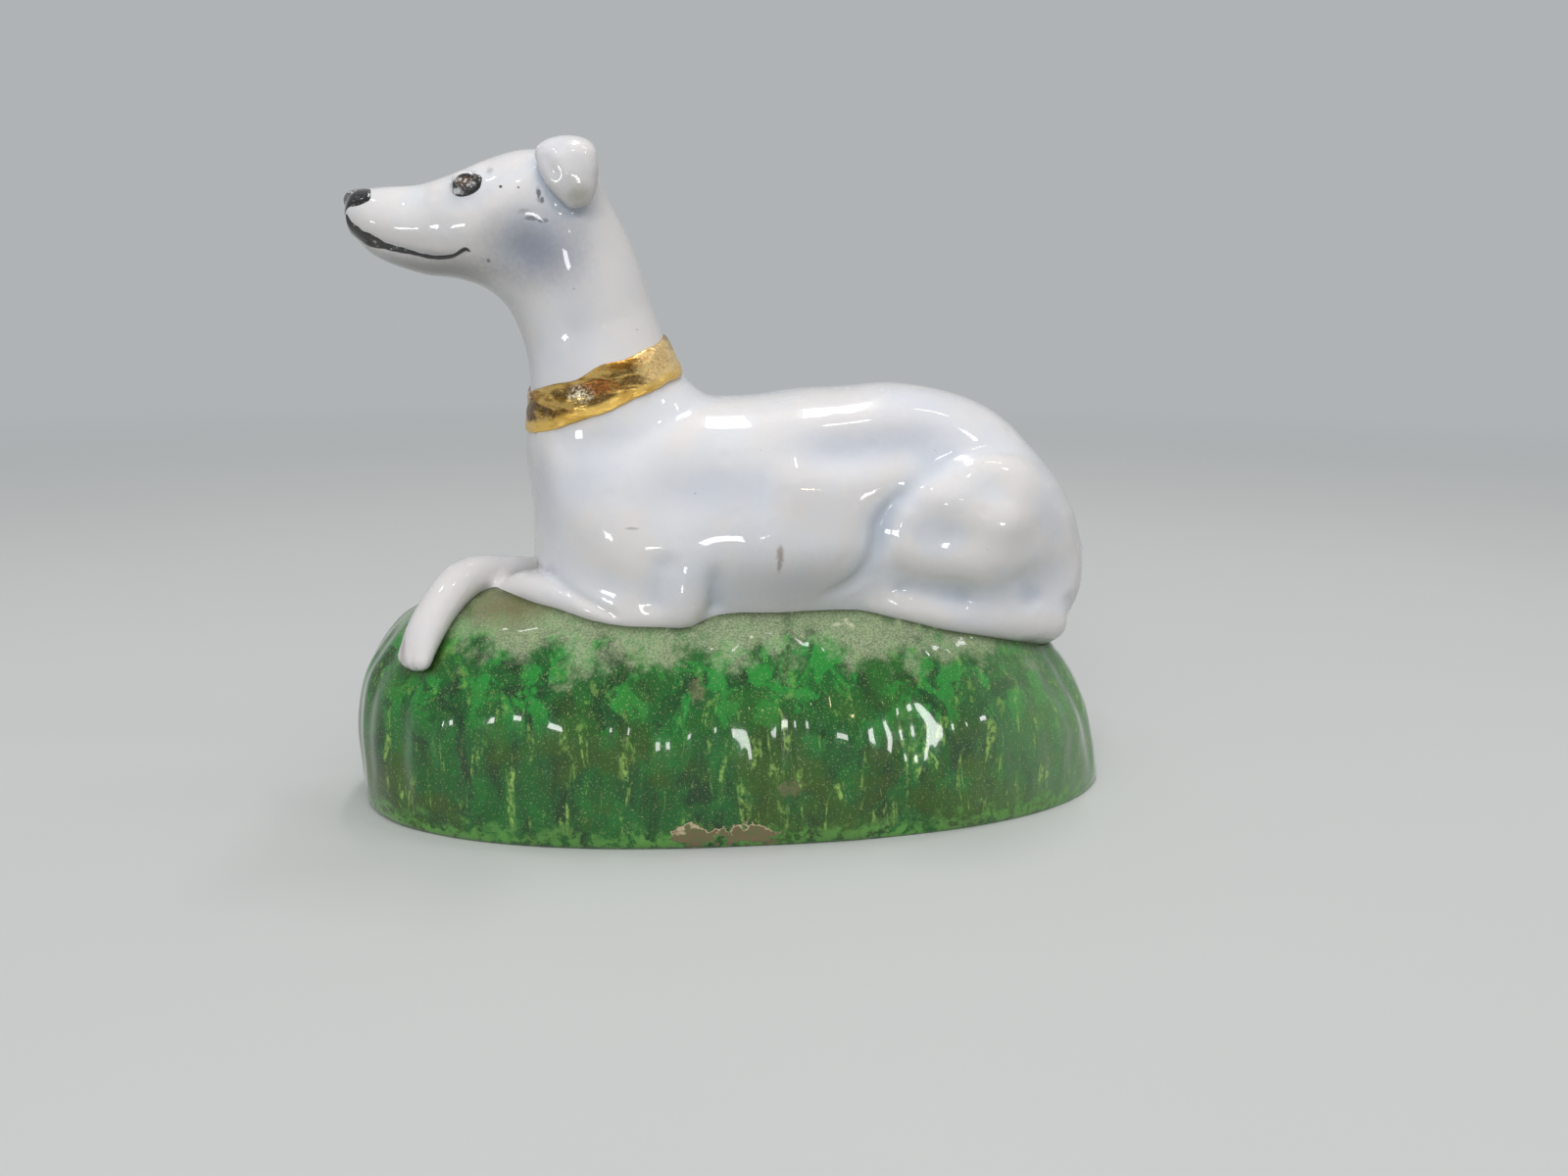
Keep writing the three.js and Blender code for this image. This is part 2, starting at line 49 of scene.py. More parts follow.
# Sizes that several pieces share
moundLow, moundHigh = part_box("mound_base")
figure = {
    "moundLength": (moundHigh.x - moundLow.x) / mm,
    "moundWidth": (moundHigh.y - moundLow.y) / mm,
    "moundHeight": 18.3,
    "bodyLength": 44.5,
    "bodyWidth": 18.6,
    "backRise": 14.25,  # croup above the mound's crown
    "withers": 0.884,  # their height as a share of backRise
    "bellySink": 6.6,
    "frontLedge": 13.85,
    "collarSetback": 6.0,
    "collarLift": 1.8,
    "headReach": 17.2,
    "headRise": 16.4,
}
chestX = figure["frontLedge"] - figure["moundLength"] / 2
halfBody = figure["bodyWidth"] / 2
collarX = chestX + figure["collarSetback"]
collarZ = figure["moundHeight"] + figure["withers"] * figure["backRise"] + figure["collarLift"]


def smoothStep(low, high, x):  # 0 at low, 1 at high, an S between; low may be the larger
    t = np.clip((np.asarray(x, float) - low) / (high - low), 0, 1)
    return t * t * (3 - 2 * t)


def bell(distance, width):
    return np.exp(-((distance / width) ** 2))


def signedPower(values, power):  # below 1 it squares off a sine or a cosine
    return np.sign(values) * np.abs(values) ** power


def wholeTurn(count):
    return np.linspace(0, 2 * math.pi, count, endpoint=False)


def unit(v):
    return v / np.maximum(np.linalg.norm(v, axis=-1, keepdims=True), 1e-12)


def curveThrough(points, count):
    # cubic pieces through the points, with slopes from the roots of the chords (centripetal)
    p = np.asarray(points, float)
    p = np.vstack([2 * p[0] - p[1], p, 2 * p[-1] - p[-2]])
    place = np.linspace(0, len(points) - 1, count)
    i = np.minimum(place.astype(int), len(points) - 2)
    w = (place - i)[:, None]
    a, b, c, d = p[i], p[i + 1], p[i + 2], p[i + 3]

    def chord(u, v):
        return np.maximum(np.sum((v - u) ** 2, 1), 1e-12)[:, None] ** 0.25

    ab, bc, cd = chord(a, b), chord(b, c), chord(c, d)
    m = ((b - a) / ab - (c - a) / (ab + bc) + (c - b) / bc) * bc
    n = ((c - b) / bc - (d - b) / (bc + cd) + (d - c) / cd) * bc
    return b + m * w + (3 * (c - b) - 2 * m - n) * w**2 + (2 * (b - c) + m + n) * w**3


def waves(points, length, count, seed):
    # smooth irregular ripple of about unit size: plane waves of nearly one length in random directions
    rng = np.random.default_rng(seed)
    ways = unit(rng.normal(size=(count, points.shape[-1]))) / (length * rng.uniform(0.75, 1.35, (count, 1)))
    return np.sin(2 * np.pi * (points @ ways.T + rng.uniform(0, 1, count))).sum(-1) / math.sqrt(count / 2)


def gridQuads(rows, columns, rowsClose=False, columnsClose=True):
    # the four corners of each cell in a grid of points, whose last row or column may join the first
    row = np.arange(rows if rowsClose else rows - 1)[:, None]
    column = np.arange(columns if columnsClose else columns - 1)
    below, beside = (row + 1) % rows * columns, (column + 1) % columns
    row = row * columns
    return np.stack([row + column, row + beside, below + beside, below + column], -1).reshape(-1, 4)


def closedSkin(rings, startPole, endPole):
    # quads between neighbouring rings and a fan of triangles at each pole
    count, sides = rings.shape[:2]
    points = np.vstack([rings.reshape(-1, 3), startPole, endPole])
    i = np.arange(sides)
    j = (i + 1) % sides
    last = (count - 1) * sides
    start = np.stack([np.full(sides, len(points) - 2), j, i], 1)
    end = np.stack([np.full(sides, len(points) - 1), last + i, last + j], 1)
    return points, gridQuads(count, sides), np.vstack([start, end])


def sectionGrid(f, caps, sides, capRings):
    # rings of squared-off ellipses over a row of frames, drawn in to a dome at both ends:
    # centre + wide * halfWide * cos^(2/power) + tall * halfTall * sin^(2/power)
    bend = np.linspace(0, math.pi / 2, capRings + 1)[1:-1]
    first = {k: v[:1] for k, v in f.items()}
    last = {k: v[-1:] for k, v in f.items()}

    def dome(end, reach, turns):
        out = {k: np.repeat(v, len(turns), 0) for k, v in end.items()}
        out["centre"] = out["centre"] + out["along"] * (reach * np.sin(turns))[:, None]
        out["halfWide"] = out["halfWide"] * np.cos(turns)
        out["halfTall"] = out["halfTall"] * np.cos(turns)
        return out

    rows = [dome(first, -caps[0], bend[::-1]), f, dome(last, caps[1], bend)]
    g = {k: np.concatenate([r[k] for r in rows]) for k in f}
    angle = wholeTurn(sides)
    power = 2 / g["power"][:, None]
    u = signedPower(np.cos(angle), power) * g["halfWide"][:, None]
    v = signedPower(np.sin(angle), power) * g["halfTall"][:, None]
    rings = g["centre"][:, None] + u[..., None] * g["wide"][:, None] + v[..., None] * g["tall"][:, None]
    startPole = first["centre"][0] - first["along"][0] * caps[0]
    endPole = last["centre"][0] + last["along"][0] * caps[1]
    return rings, startPole, endPole


def loft(frames, caps, sides=64, capRings=9):
    return closedSkin(*sectionGrid(frames, caps, sides, capRings))


def railFrames(rows, steps, first=0.0, last=1.0):
    # between an upper and a lower line in the mid-plane; a row is (upper x, z, lower x, z, half, power)
    r = np.asarray(rows, float)
    fine = 4 * steps
    keep = np.unique(np.round(np.linspace(first, last, steps) * (fine - 1)).astype(int))
    top = curveThrough(np.c_[r[:, 0], 0 * r[:, 0], r[:, 1]], fine)[keep]
    low = curveThrough(np.c_[r[:, 2], 0 * r[:, 2], r[:, 3]], fine)[keep]
    size = curveThrough(np.c_[r[:, 4:6], 0 * r[:, 4]], fine)[keep]
    centre = (top + low) / 2
    tall = unit(top - low)
    wide = np.zeros_like(tall)
    wide[:, 1] = np.sign(np.cross(tall, np.gradient(centre, axis=0))[:, 1])
    return {
        "centre": centre, "tall": tall, "wide": wide, "along": np.cross(wide, tall),
        "halfTall": np.linalg.norm(top - low, axis=1) / 2, "halfWide": size[:, 0], "power": size[:, 1],
    }


def spineFrames(rows, steps, upward, power=2.0):
    # along a curved spine; a row is (x, y, z, width, height), the height lies nearest to upward
    r = np.asarray(rows, float)
    centre = curveThrough(r[:, :3], steps)
    size = curveThrough(np.c_[r[:, 3:5], 0 * r[:, 3]], steps)
    along = unit(np.gradient(centre, axis=0))
    above = np.asarray(upward, float)
    tall = unit(above - along * (along @ above)[:, None])
    return {
        "centre": centre, "along": along, "tall": tall, "wide": np.cross(tall, along),
        "halfWide": size[:, 0] / 2, "halfTall": size[:, 1] / 2, "power": np.full(steps, float(power)),
    }


def bead(centre, size, tilt=0.0, sides=40):
    # ellipsoid: cos and sin of two angles times its half sizes, turned about Y by tilt degrees
    turn = np.linspace(0, math.pi, sides // 2 + 1)[1:-1, None]
    angle = wholeTurn(sides)[None]
    girth = np.sin(turn)
    ball = np.stack([-np.cos(turn) + 0 * angle, girth * np.cos(angle), girth * np.sin(angle)], -1)
    c, s = math.cos(math.radians(tilt)), math.sin(math.radians(tilt))
    spin = np.array([[c, 0, s], [0, 1, 0], [-s, 0, c]])
    half = np.asarray(size, float) / 2
    poles = np.array([[-half[0], 0, 0], [half[0], 0, 0]]) @ spin.T + centre
    return closedSkin((ball * half) @ spin.T + centre, *poles)


def addObject(name, data):
    obj = bpy.data.objects.new(name, data)
    bpy.context.scene.collection.objects.link(obj)
    return obj


def makeObject(name, points, quads, fans=np.zeros((0, 3), int), scale=mm, layers=()):
    # puts whole arrays of corners and faces into a mesh; layers are numbers on its corners for the materials
    mesh = bpy.data.meshes.new(name)
    mesh.vertices.add(len(points))
    mesh.vertices.foreach_set("co", (np.asarray(points) * scale).astype(np.float32).ravel())
    corners = np.concatenate([quads.ravel(), fans.ravel()])
    starts = np.concatenate([np.arange(len(quads)) * 4, quads.size + np.arange(len(fans)) * 3])
    mesh.loops.add(len(corners))
    mesh.loops.foreach_set("vertex_index", corners.astype(np.int32))
    mesh.polygons.add(len(starts))
    mesh.polygons.foreach_set("loop_start", starts.astype(np.int32))
    mesh.update(calc_edges=True)
    mesh.shade_smooth()
    for key, values in layers:
        layer = mesh.attributes.new(key, "FLOAT", "POINT")
        layer.data.foreach_set("value", np.asarray(values, np.float32))
    return addObject(name, mesh)


def flatSheet(name, x, y, scale=mm):
    points = np.stack([x, y, 0 * x], -1).reshape(-1, 3)
    return makeObject(name, points, gridQuads(*x.shape, columnsClose=False), scale=scale)


def finishedMesh(obj):  # with its modifiers applied, and its corners as an array
    mesh = obj.evaluated_get(bpy.context.evaluated_depsgraph_get()).to_mesh()
    points = np.zeros(len(mesh.vertices) * 3, np.float32)
    mesh.vertices.foreach_get("co", points)
    return mesh, points.reshape(-1, 3).astype(float)


def insideOut(points, quads):
    # the volume under the faces, from the cross product of their diagonals, comes out below 0
    p = points[quads]
    face = np.cross(p[:, 2] - p[:, 0], p[:, 3] - p[:, 1])
    return np.sum(face * (p[:, 0] - points.mean(0))) < 0


def standing(right, above, back, place):  # the matrix of an object that looks along -back
    return Matrix(np.vstack([np.c_[right, above, back, place], [0, 0, 0, 1]]).tolist())


class Skin:
    # a quad surface whose corners are moved as whole arrays
    def __init__(self, points, quads):
        self.points, self.quads = points, quads
        pairs = np.sort(np.vstack([quads[:, [k, (k + 1) % 4]] for k in range(4)]), 1)
        self.edges = np.unique(pairs, axis=0)
        self.degree = np.bincount(self.edges.ravel(), minlength=len(points)).astype(float)

    def spread(self, values):  # mean over the neighbours
        a, b = self.edges.T
        v = values.reshape(len(self.points), -1)
        n = len(self.points)
        out = [np.bincount(a, v[b, k], n) + np.bincount(b, v[a, k], n) for k in range(v.shape[1])]
        return (np.stack(out, 1) / self.degree[:, None]).reshape(values.shape)

    def normals(self):  # from the diagonals of the quads, summed at their corners
        p, q = self.points, self.quads
        face = np.cross(p[q[:, 2]] - p[q[:, 0]], p[q[:, 3]] - p[q[:, 1]])
        n = len(p)
        total = [sum(np.bincount(q[:, c], face[:, k], n) for c in range(4)) for k in range(3)]
        return unit(np.stack(total, 1))

    def drift(self):  # from each corner to its neighbours' mean
        return self.spread(self.points) - self.points

    def relax(self, rounds, pull=0.5, push=-0.53):  # evens the surface and keeps its volume
        for _ in range(rounds):
            for share in (pull, push):
                self.points += share * self.drift()

    def fillCreases(self, rounds, share, limit, where=1.0):  # slip and glaze gather in hollows, up to limit
        start = self.points.copy()
        for _ in range(rounds):
            n = self.normals()
            rise = np.sum(self.drift() * n, 1)
            self.points += n * (share * where * np.maximum(rise, 0))[:, None]
        moved = self.points - start
        length = np.linalg.norm(moved, axis=1, keepdims=True)
        self.points = start + moved * np.minimum(1, limit / np.maximum(length, 1e-9))

    def soften(self, rounds, where):
        for _ in range(rounds):
            self.points += (0.5 * where)[:, None] * self.drift()

    def hollowness(self, rounds):  # above 0 in a hollow, below 0 on a ridge, per millimetre
        step = np.mean(np.linalg.norm(self.points[self.edges[:, 0]] - self.points[self.edges[:, 1]], axis=1))
        bend = np.sum(self.drift() * self.normals(), 1) * 4 / step**2
        for _ in range(rounds):
            bend = 0.5 * bend + 0.5 * self.spread(bend)
        return bend

    def stroke(self, path, width, side, fade=0.3, count=140):
        # how much of a stroke on the side view reaches each corner: a bell across it, fading at its ends
        line = curveThrough(path, count)
        low, high = line.min(0) - 3 * width, line.max(0) + 3 * width
        p = self.points[:, [0, 2]]
        near = np.flatnonzero(np.all((p > low) & (p < high), 1) & (side * self.points[:, 1] > 0))
        gap = (p[near, 0][:, None] - line[:, 0]) ** 2 + (p[near, 1][:, None] - line[:, 1]) ** 2
        place = gap.argmin(1) / (count - 1)
        ends = smoothStep(0, fade, place) * smoothStep(0, fade, 1 - place)
        facing = smoothStep(0.05, 0.45, side * self.normals()[near, 1])
        out = np.zeros(len(p))
        out[near] = np.exp(-gap.min(1) / width**2) * ends * facing
        return out

    def spot(self, centre, size):  # a bell in space round a centre, with a size for each axis
        return np.exp(-np.sum(((self.points - centre) / np.asarray(size, float)) ** 2, 1))

    def push(self, amount):
        self.points += self.normals() * amount[:, None]

    def model(self, marks, swells):  # the same on both sides
        for side in (-1, 1):
            for path, width, depth in marks:
                self.push(depth * self.stroke(path, width, side))
            for (x, y, z), size, height in swells:
                self.push(height * self.spot((x, side * y, z), size))


def fuse(parts, voxel):
    # joins closed lofts and draws one even skin round them
    points, quads, fans = zip(*parts)
    offsets = np.cumsum([0] + [len(p) for p in points[:-1]])
    quads, fans = (np.vstack([f + o for f, o in zip(faces, offsets)]) for faces in (quads, fans))
    rough = makeObject("rough", np.vstack(points), quads, fans, scale=1)
    remesh = rough.modifiers.new("skin", "REMESH")
    remesh.mode = "VOXEL"
    remesh.voxel_size = voxel
    mesh, corners = finishedMesh(rough)
    faces = np.zeros(len(mesh.loops), np.int32)
    mesh.loops.foreach_get("vertex_index", faces)
    bpy.data.objects.remove(rough)
    return Skin(corners, faces.reshape(-1, 4))


# Mound: the shape that everything else lies on
grass = {
    "planPower": 2.28,
    "endShoulder": 3.8,
    "sideShoulder": 3.0,
    "crownFall": 3.0,
    "footInset": 0.5,
    "footRise": 3.2,
    "rearLean": 0.19,
    "wall": 3.0,
    "crownWall": 5.2,
    "grooves": 48,
    "grooveDepth": 0.17,
    "grooveWidth": 0.85,
    "grooveStray": 0.27,  # from an even spacing, as a share of it
    "grooveLean": 0.035,
    "grooveBend": 0.16,
    "sunk": 0.14,  # how far the skin stays inside the plan shape
    "uneven": 0.09,
    "fine": 0.008,
    "belt": (0.72, 0.14, 0.26),  # a hollow round the shoulder: share of the height, its half width, depth
    "seam": 0.55,  # width of the glaze that gathers against the dog
    "joint": 0.42,  # width of its darker colour
    "rimRound": (0.35, 0.22),  # rise and depth of the rounded foot rim
    "around": 620,
    "levels": 118,
    "hollowLevels": 26,
}


def crownAt(x):
    return figure["moundHeight"] - grass["crownFall"] * (x / figure["moundLength"] + 0.25)


def shoulderAt(endOn):
    return grass["sideShoulder"] + (grass["endShoulder"] - grass["sideShoulder"]) * endOn


def moundTop(x, y):
    # height over a point of the plan: crown * (1 - reach^s)^(1/s), reach from the rounded plan shape
    endOn = np.abs(2 * x / figure["moundLength"]) ** grass["planPower"]
    sideOn = np.abs(2 * y / figure["moundWidth"]) ** grass["planPower"]
    reach = np.minimum((endOn + sideOn) ** (1 / grass["planPower"]), 0.99)
    s = shoulderAt(endOn / np.maximum(endOn + sideOn, 1e-9))
    return crownAt(x) * (1 - reach**s) ** (1 / s)


def alongBody(share):
    return chestX + share * figure["bodyLength"]


def aheadOfChest(share):
    return chestX - share * figure["frontLedge"]


def up(height):
    return figure["moundHeight"] + height


def onMound(x, out, rise, wide=0, tall=0):
    y = out * halfBody
    return (x, y, float(moundTop(x, y)) + rise, wide, tall)


# Neck and head: nape and throat lines, forward and up from the collar as shares of reach and rise, half width
neckRows = [
    (-0.651, -0.134, 0.314, -0.671, 7.38),
    (-0.442, -0.043, 0.337, -0.402, 6.4),
    (-0.355, 0.049, 0.326, -0.22, 5.8),
    (-0.297, 0.165, 0.308, -0.073, 5.2),
    (-0.238, 0.329, 0.32, 0.146, 4.5),
    (-0.157, 0.591, 0.384, 0.317, 4.32),
    (-0.07, 0.78, 0.471, 0.402, 4.5),
    (-0.006, 0.909, 0.57, 0.442, 4.5),
    (0.11, 0.994, 0.645, 0.454, 4.37),
    (0.273, 1.0, 0.709, 0.46, 4.0),
    (0.424, 0.963, 0.773, 0.476, 3.51),
    (0.576, 0.896, 0.831, 0.494, 3.02),
    (0.715, 0.848, 0.89, 0.518, 2.61),
    (0.86, 0.832, 0.948, 0.555, 2.34),
    (0.959, 0.82, 1.0, 0.616, 1.93),
]


def onHead(forward, aside, rise):
    return (collarX - forward * figure["headReach"], aside, collarZ + rise * figure["headRise"])


def neckFrames(first, last, steps):  # from one row's place to another's
    rows = []
    for napeX, napeZ, throatX, throatZ, half in neckRows:
        nape, throat = onHead(napeX, 0, napeZ), onHead(throatX, 0, throatZ)
        rows.append((nape[0], nape[2], throat[0], throat[2], half, 2.0))
    end = len(neckRows) - 1
    return railFrames(rows, steps, first / end, last / end)


# Body, legs and tail: one skin of white glaze
whiteBody = {
    "voxel": 0.24,
    "armWidth": 7.2,
    "armThick": 4.2,
    "forearm": 2.7,
    "wrist": 2.8,
    "paw": 2.9,
    "haunchLength": 16.6,
    "haunchRise": 9.8,
    "haunchDepth": 7.0,
    "haunchOut": 1.03,  # a share of half the body's width
    "heelSetback": {-1: 1.4, 1: 4.2},  # the tail lies behind the right heel
    "heelRound": 1.2,
    "foot": 3.7,
    "toes": 3.6,
    "toeCut": 0.24,
    "tailRoot": 3.2,
    "tailTip": 1.5,
    "rumpRound": (0.09, 0.05),  # how its reach falls away from the middle: slope and curve
    "rumpSoft": 0.12,
    "uneven": 0.035,
    "bed": 1.3,  # how far the body reaches down into the mound
}

# back and belly lines along the body and up from the mound's crown as shares, half width as a share
torsoRows = [
    (0.075, 0.884, 0.105, 0.3, 0.71),
    (0.13, 0.912, 0.15, 0.7, 0.86),
    (0.23, 0.933, 0.24, 0.94, 0.97),
    (0.37, 0.937, 0.36, 1.0, 1.0),
    (0.52, 0.979, 0.5, 0.97, 0.957),
    (0.67, 1.0, 0.63, 0.94, 0.88),
    (0.82, 0.863, 0.75, 1.0, 0.828),
    (0.925, 0.589, 0.85, 1.09, 0.742),
    (0.985, 0.309, 0.91, 1.21, 0.624),
]

haunchX = alongBody(0.77)
kneeX = haunchX - whiteBody["haunchLength"] / 2
hipX = haunchX + whiteBody["haunchLength"] / 2
haunchSide = whiteBody["haunchOut"] * halfBody


def overBody(rows):  # from shares of the body's length, half width and back's rise to places
    rise = figure["backRise"]
    return [(alongBody(s), o * halfBody, up(r * rise), wide, tall) for s, o, r, wide, tall in rows]


def lyingLimb(rows, steps, caps):
    # along the mound; a row is (x, y as a share of half the body, rise, width, height)
    return loft(spineFrames([onMound(*row) for row in rows], steps, (0, 0, 1)), caps)


def torso():
    rows = []
    for a, b, c, d, half in torsoRows:
        back = (alongBody(a), up(b * figure["backRise"]))
        belly = (alongBody(c), up(-d * figure["bellySink"]))
        rows.append((*back, *belly, half * halfBody, 2.3))
    return loft(railFrames(rows, 90), [3.0, 2.0], 120)


def upperArm(side):
    w, t = whiteBody["armWidth"], whiteBody["armThick"]
    rows = [
        (0.16, side * 0.69, 0.44, 1.1 * w, 0.8 * t),
        (0.205, side * 0.79, 0.19, 1.1 * w, t),
        (0.262, side * 0.82, -0.06, 0.72 * w, t),
    ]
    return loft(spineFrames(overBody(rows), 24, (0, side, 0)), [0.28 * w, 0.2 * w])


def chestMass(side):  # the flesh between breast, upper arm and elbow
    rows = [
        (-14.7, 1.9, 20.6, 3.4, 5.4),
        (-12.6, 4.2, 20.6, 4.6, 7.4),
        (-9.6, 6.3, 20.7, 5.0, 8.8),
        (-6.0, 7.2, 20.5, 4.6, 8.6),
        (-2.6, 6.9, 20.0, 4.0, 7.4),
    ]
    return loft(spineFrames([(x, side * y, *rest) for x, y, *rest in rows], 40, (0, 0, 1)), [1.4, 1.6])


def leftForearm():  # lies along the mound and passes under the right one
    t, w, p = whiteBody["forearm"], whiteBody["wrist"], whiteBody["paw"]
    rows = [
        (alongBody(0.274), -0.86, 0.11 * t, 1.35 * t, 1.35 * t),
        (alongBody(0.169), -0.86, 0.04 * t, 1.1 * t, 1.1 * t),
        (alongBody(0.05), -0.58, 0, t, t),
        (alongBody(0.01), -0.45, 0, t, t),
        (aheadOfChest(0.13), -0.25, -0.4 * w, 0.85 * w, 0.8 * w),
        (aheadOfChest(0.375), 0.15, -0.28 * w, 0.9 * w, 0.8 * w),
        (aheadOfChest(0.592), 0.58, -0.2 * w, p, 0.75 * w),
        (aheadOfChest(0.664), 0.75, -0.12 * w, p, 0.65 * w),
    ]
    return lyingLimb(rows, 64, [0.44 * t, 0.32 * w])


def rightForearm():  # comes from under the chest, arches over and lies down the front
    t, w, p = whiteBody["forearm"], whiteBody["wrist"], whiteBody["paw"]
    rows = [
        (alongBody(0.274), 0.86, 0.11 * t, 1.35 * t, 1.35 * t),
        (alongBody(0.169), 0.74, 0.18 * t, 1.1 * t, 1.1 * t),
        (alongBody(0.034), 0.25, -0.3 * t, t, t),
        (aheadOfChest(0.13), -0.08, 0.1 * w, 0.95 * w, 0.95 * w),
        (aheadOfChest(0.25), -0.24, 0.33 * w, 1.05 * w, 1.1 * w),
        (aheadOfChest(0.34), -0.38, 0.36 * w, 1.12 * w, 1.1 * w),
        (aheadOfChest(0.43), -0.56, 0.22 * w, 1.1 * w, 0.95 * w),
        (aheadOfChest(0.505), -0.7, 0.14 * w, 1.1 * p, 0.78 * w),
        (aheadOfChest(0.555), -0.78, 0.08 * w, 1.15 * p, 0.6 * w),
    ]
    return lyingLimb(rows, 64, [0.44 * t, 0.29 * w])


def hindLeg(side):
    t, length, depth = whiteBody["foot"], whiteBody["haunchLength"], whiteBody["haunchDepth"]
    foot = [
        (hipX - whiteBody["heelSetback"][side], 0.5 * side, 0.3 * t, 1.1 * t, 1.1 * t),
        (haunchX + 0.09 * length, 0.68 * side, 0.13 * t, t, t),
        (kneeX + 0.2 * length, 0.7 * side, 0.11 * t, t, 0.9 * t),
        (kneeX, 0.64 * side, 0.1 * t, whiteBody["toes"], 0.75 * t),
    ]
    # the haunch stands between a line on the mound and a rounded upper line: x, out, rise and width as shares
    rows = [
        (hipX - 0.16 * length, -0.2, 0.68, 0.6),
        (haunchX, 0, 1, 1),
        (kneeX + 0.16 * length, 0.06, 0.76, 0.68),
    ]
    haunch = []
    for x, out, rise, wide in rows:
        low = onMound(x, 0.75 * side, 0.35 * t)[2]
        high = up(rise * whiteBody["haunchRise"])
        y = side * (haunchSide - depth / 2 + out * depth)
        haunch.append((x, y, (low + high) / 2, wide * depth, high - low))
    shank = lyingLimb(foot, 40, [whiteBody["heelRound"], 0.35 * t])
    return [shank, loft(spineFrames(haunch, 40, (0, 0, 1), 2.1), [0.145 * length, 0.16 * length])]


def tail():  # down the rump, round the right hock and forward along the haunch
    def size(share):
        return whiteBody["tailRoot"] + (whiteBody["tailTip"] - whiteBody["tailRoot"]) * share

    def beside(share):
        return (haunchSide + 0.1 + 0.5 * size(share)) / halfBody

    behind = hipX - whiteBody["heelSetback"][1] + whiteBody["heelRound"] + 0.55 * size(0.4)
    length = whiteBody["haunchLength"]
    rump = [
        (0.912, 0, 0.4, 0),
        (0.96, 0.01, 0.14, 0.1),
        (0.973, 0.05, -0.126, 0.2),
        (0.97, 0.25, -0.393, 0.3),
    ]
    rows = overBody([(s, o, r, size(n), size(n)) for s, o, r, n in rump])
    low = [
        (behind, 0.6, 0.2, 0.4),
        (behind - 0.21 * length, 0.97, 0.16, 0.55),
        (haunchX - 0.11 * length, beside(0.7), 0.15, 0.7),
        (haunchX - 0.47 * length, beside(0.9), 0.1, 0.9),
        (haunchX - 0.71 * length, beside(1), 0.12, 1),
    ]
    rows += [onMound(x, o, r * size(n), size(n), size(n)) for x, o, r, n in low]
    return loft(spineFrames(rows, 90, unit(np.array([1, 1, 0.4]))), [1.0, 0.7])


# Marks pressed or left in the clay, drawn on the side view: x and z, width, and depth below or above the skin
bodyMarks = [
    # the hollow before the haunch, and the line in it
    ([(17.4, 28.2), (14.6, 27.0), (12.4, 25.7), (10.8, 24.5), (9.9, 23.3),
      (9.5, 22.0), (9.2, 20.6), (8.4, 19.2), (6.8, 18.0), (4.6, 17.0)], 1.5, -0.4),
    ([(14.0, 26.6), (11.9, 25.4), (10.4, 24.1), (9.7, 22.9), (9.4, 21.4),
      (8.9, 20.0), (7.8, 18.6), (6.2, 17.7), (4.6, 17.0)], 0.5, -0.24),
    ([(9.7, 20.6), (11.0, 19.1), (13.2, 17.8), (16.2, 17.2), (19.6, 16.8)], 1.3, -0.26),
    ([(11.0, 22.6), (12.6, 24.2), (15.4, 26.0)], 1.1, 0.18),
    ([(-2.5, 20.6), (-2.5, 18.6), (-2.5, 17.2), (-2.6, 16.0)], 0.6, -0.34),  # behind the elbow
    ([(-8.6, 25.3), (-4.5, 25.6), (0.3, 25.9), (3.4, 25.4)], 2.6, -0.55),
    ([(25.0, 17.0), (25.7, 15.4), (26.0, 13.6)], 0.6, -0.2),
    ([(19.8, 19.4), (21.4, 17.6), (22.4, 15.5)], 1.0, -0.2),
    ([(-15.4, 19.2), (-13.4, 18.2), (-11.7, 17.4), (-10.1, 16.7), (-8.9, 16.2)], 0.4, -0.24),
    ([(-7.2, 16.0), (-6.8, 17.8), (-6.2, 19.8), (-5.9, 21.6)], 1.2, -0.34),
]

# soft dents and swells: x and z of the middle, half sizes along x and z, and height
bodySwells = [
    (9.5, 28.4, 5.4, 1.9, -0.5),
    (6.0, 28.0, 3.4, 1.5, -0.35),
    (12.6, 28.7, 3.2, 1.5, -0.45),
    (17.9, 25.4, 1.7, 1.5, -0.34),
    (14.9, 22.1, 2.3, 1.3, -0.3),
    (13.4, 25.0, 2.2, 1.2, 0.16),
    (19.2, 22.9, 1.9, 1.3, 0.2),
    (16.8, 19.6, 3.6, 1.3, 0.16),
    (22.6, 20.2, 1.8, 1.6, 0.18),
    (-4.4, 17.6, 1.5, 2.2, 0.16),
    (-9.8, 22.0, 2.6, 2.6, 0.2),
    (-10.4, 28.4, 2.6, 1.5, -0.2),
    (2.4, 20.6, 4.6, 2.2, 0.14),
]

# the crease between breast and forearm, as x and z, and how far back the rump reaches, as z and x
forearmCrease = [(-16.2, 19.3), (-14.2, 18.9), (-13.3, 17.9), (-11.7, 17.3), (-10.2, 16.7), (-6.0, 14.6)]
rumpLine = [
    (14.3, 28.35), (17.2, 28.4), (20.0, 28.07), (22.8, 27.15),
    (25.2, 25.7), (27.3, 23.9), (29.4, 21.7), (31.3, 19.1),
]

# toes: the tip's x, share of half the body and rise, the way it points, and the paw's width
toeRows = [
    (aheadOfChest(0.6), -0.86, 0.2, (-0.45, -0.9, -0.6), 2.9),
    (aheadOfChest(0.74), 0.84, 0.2, (-0.5, 0.86, -0.5), 2.9),
    (kneeX - 1.0, -0.87, 0.4, (-1.0, 0.0, 0.0), 3.6),
    (kneeX - 1.0, 0.87, 0.4, (-1.0, 0.0, 0.0), 3.6),
]


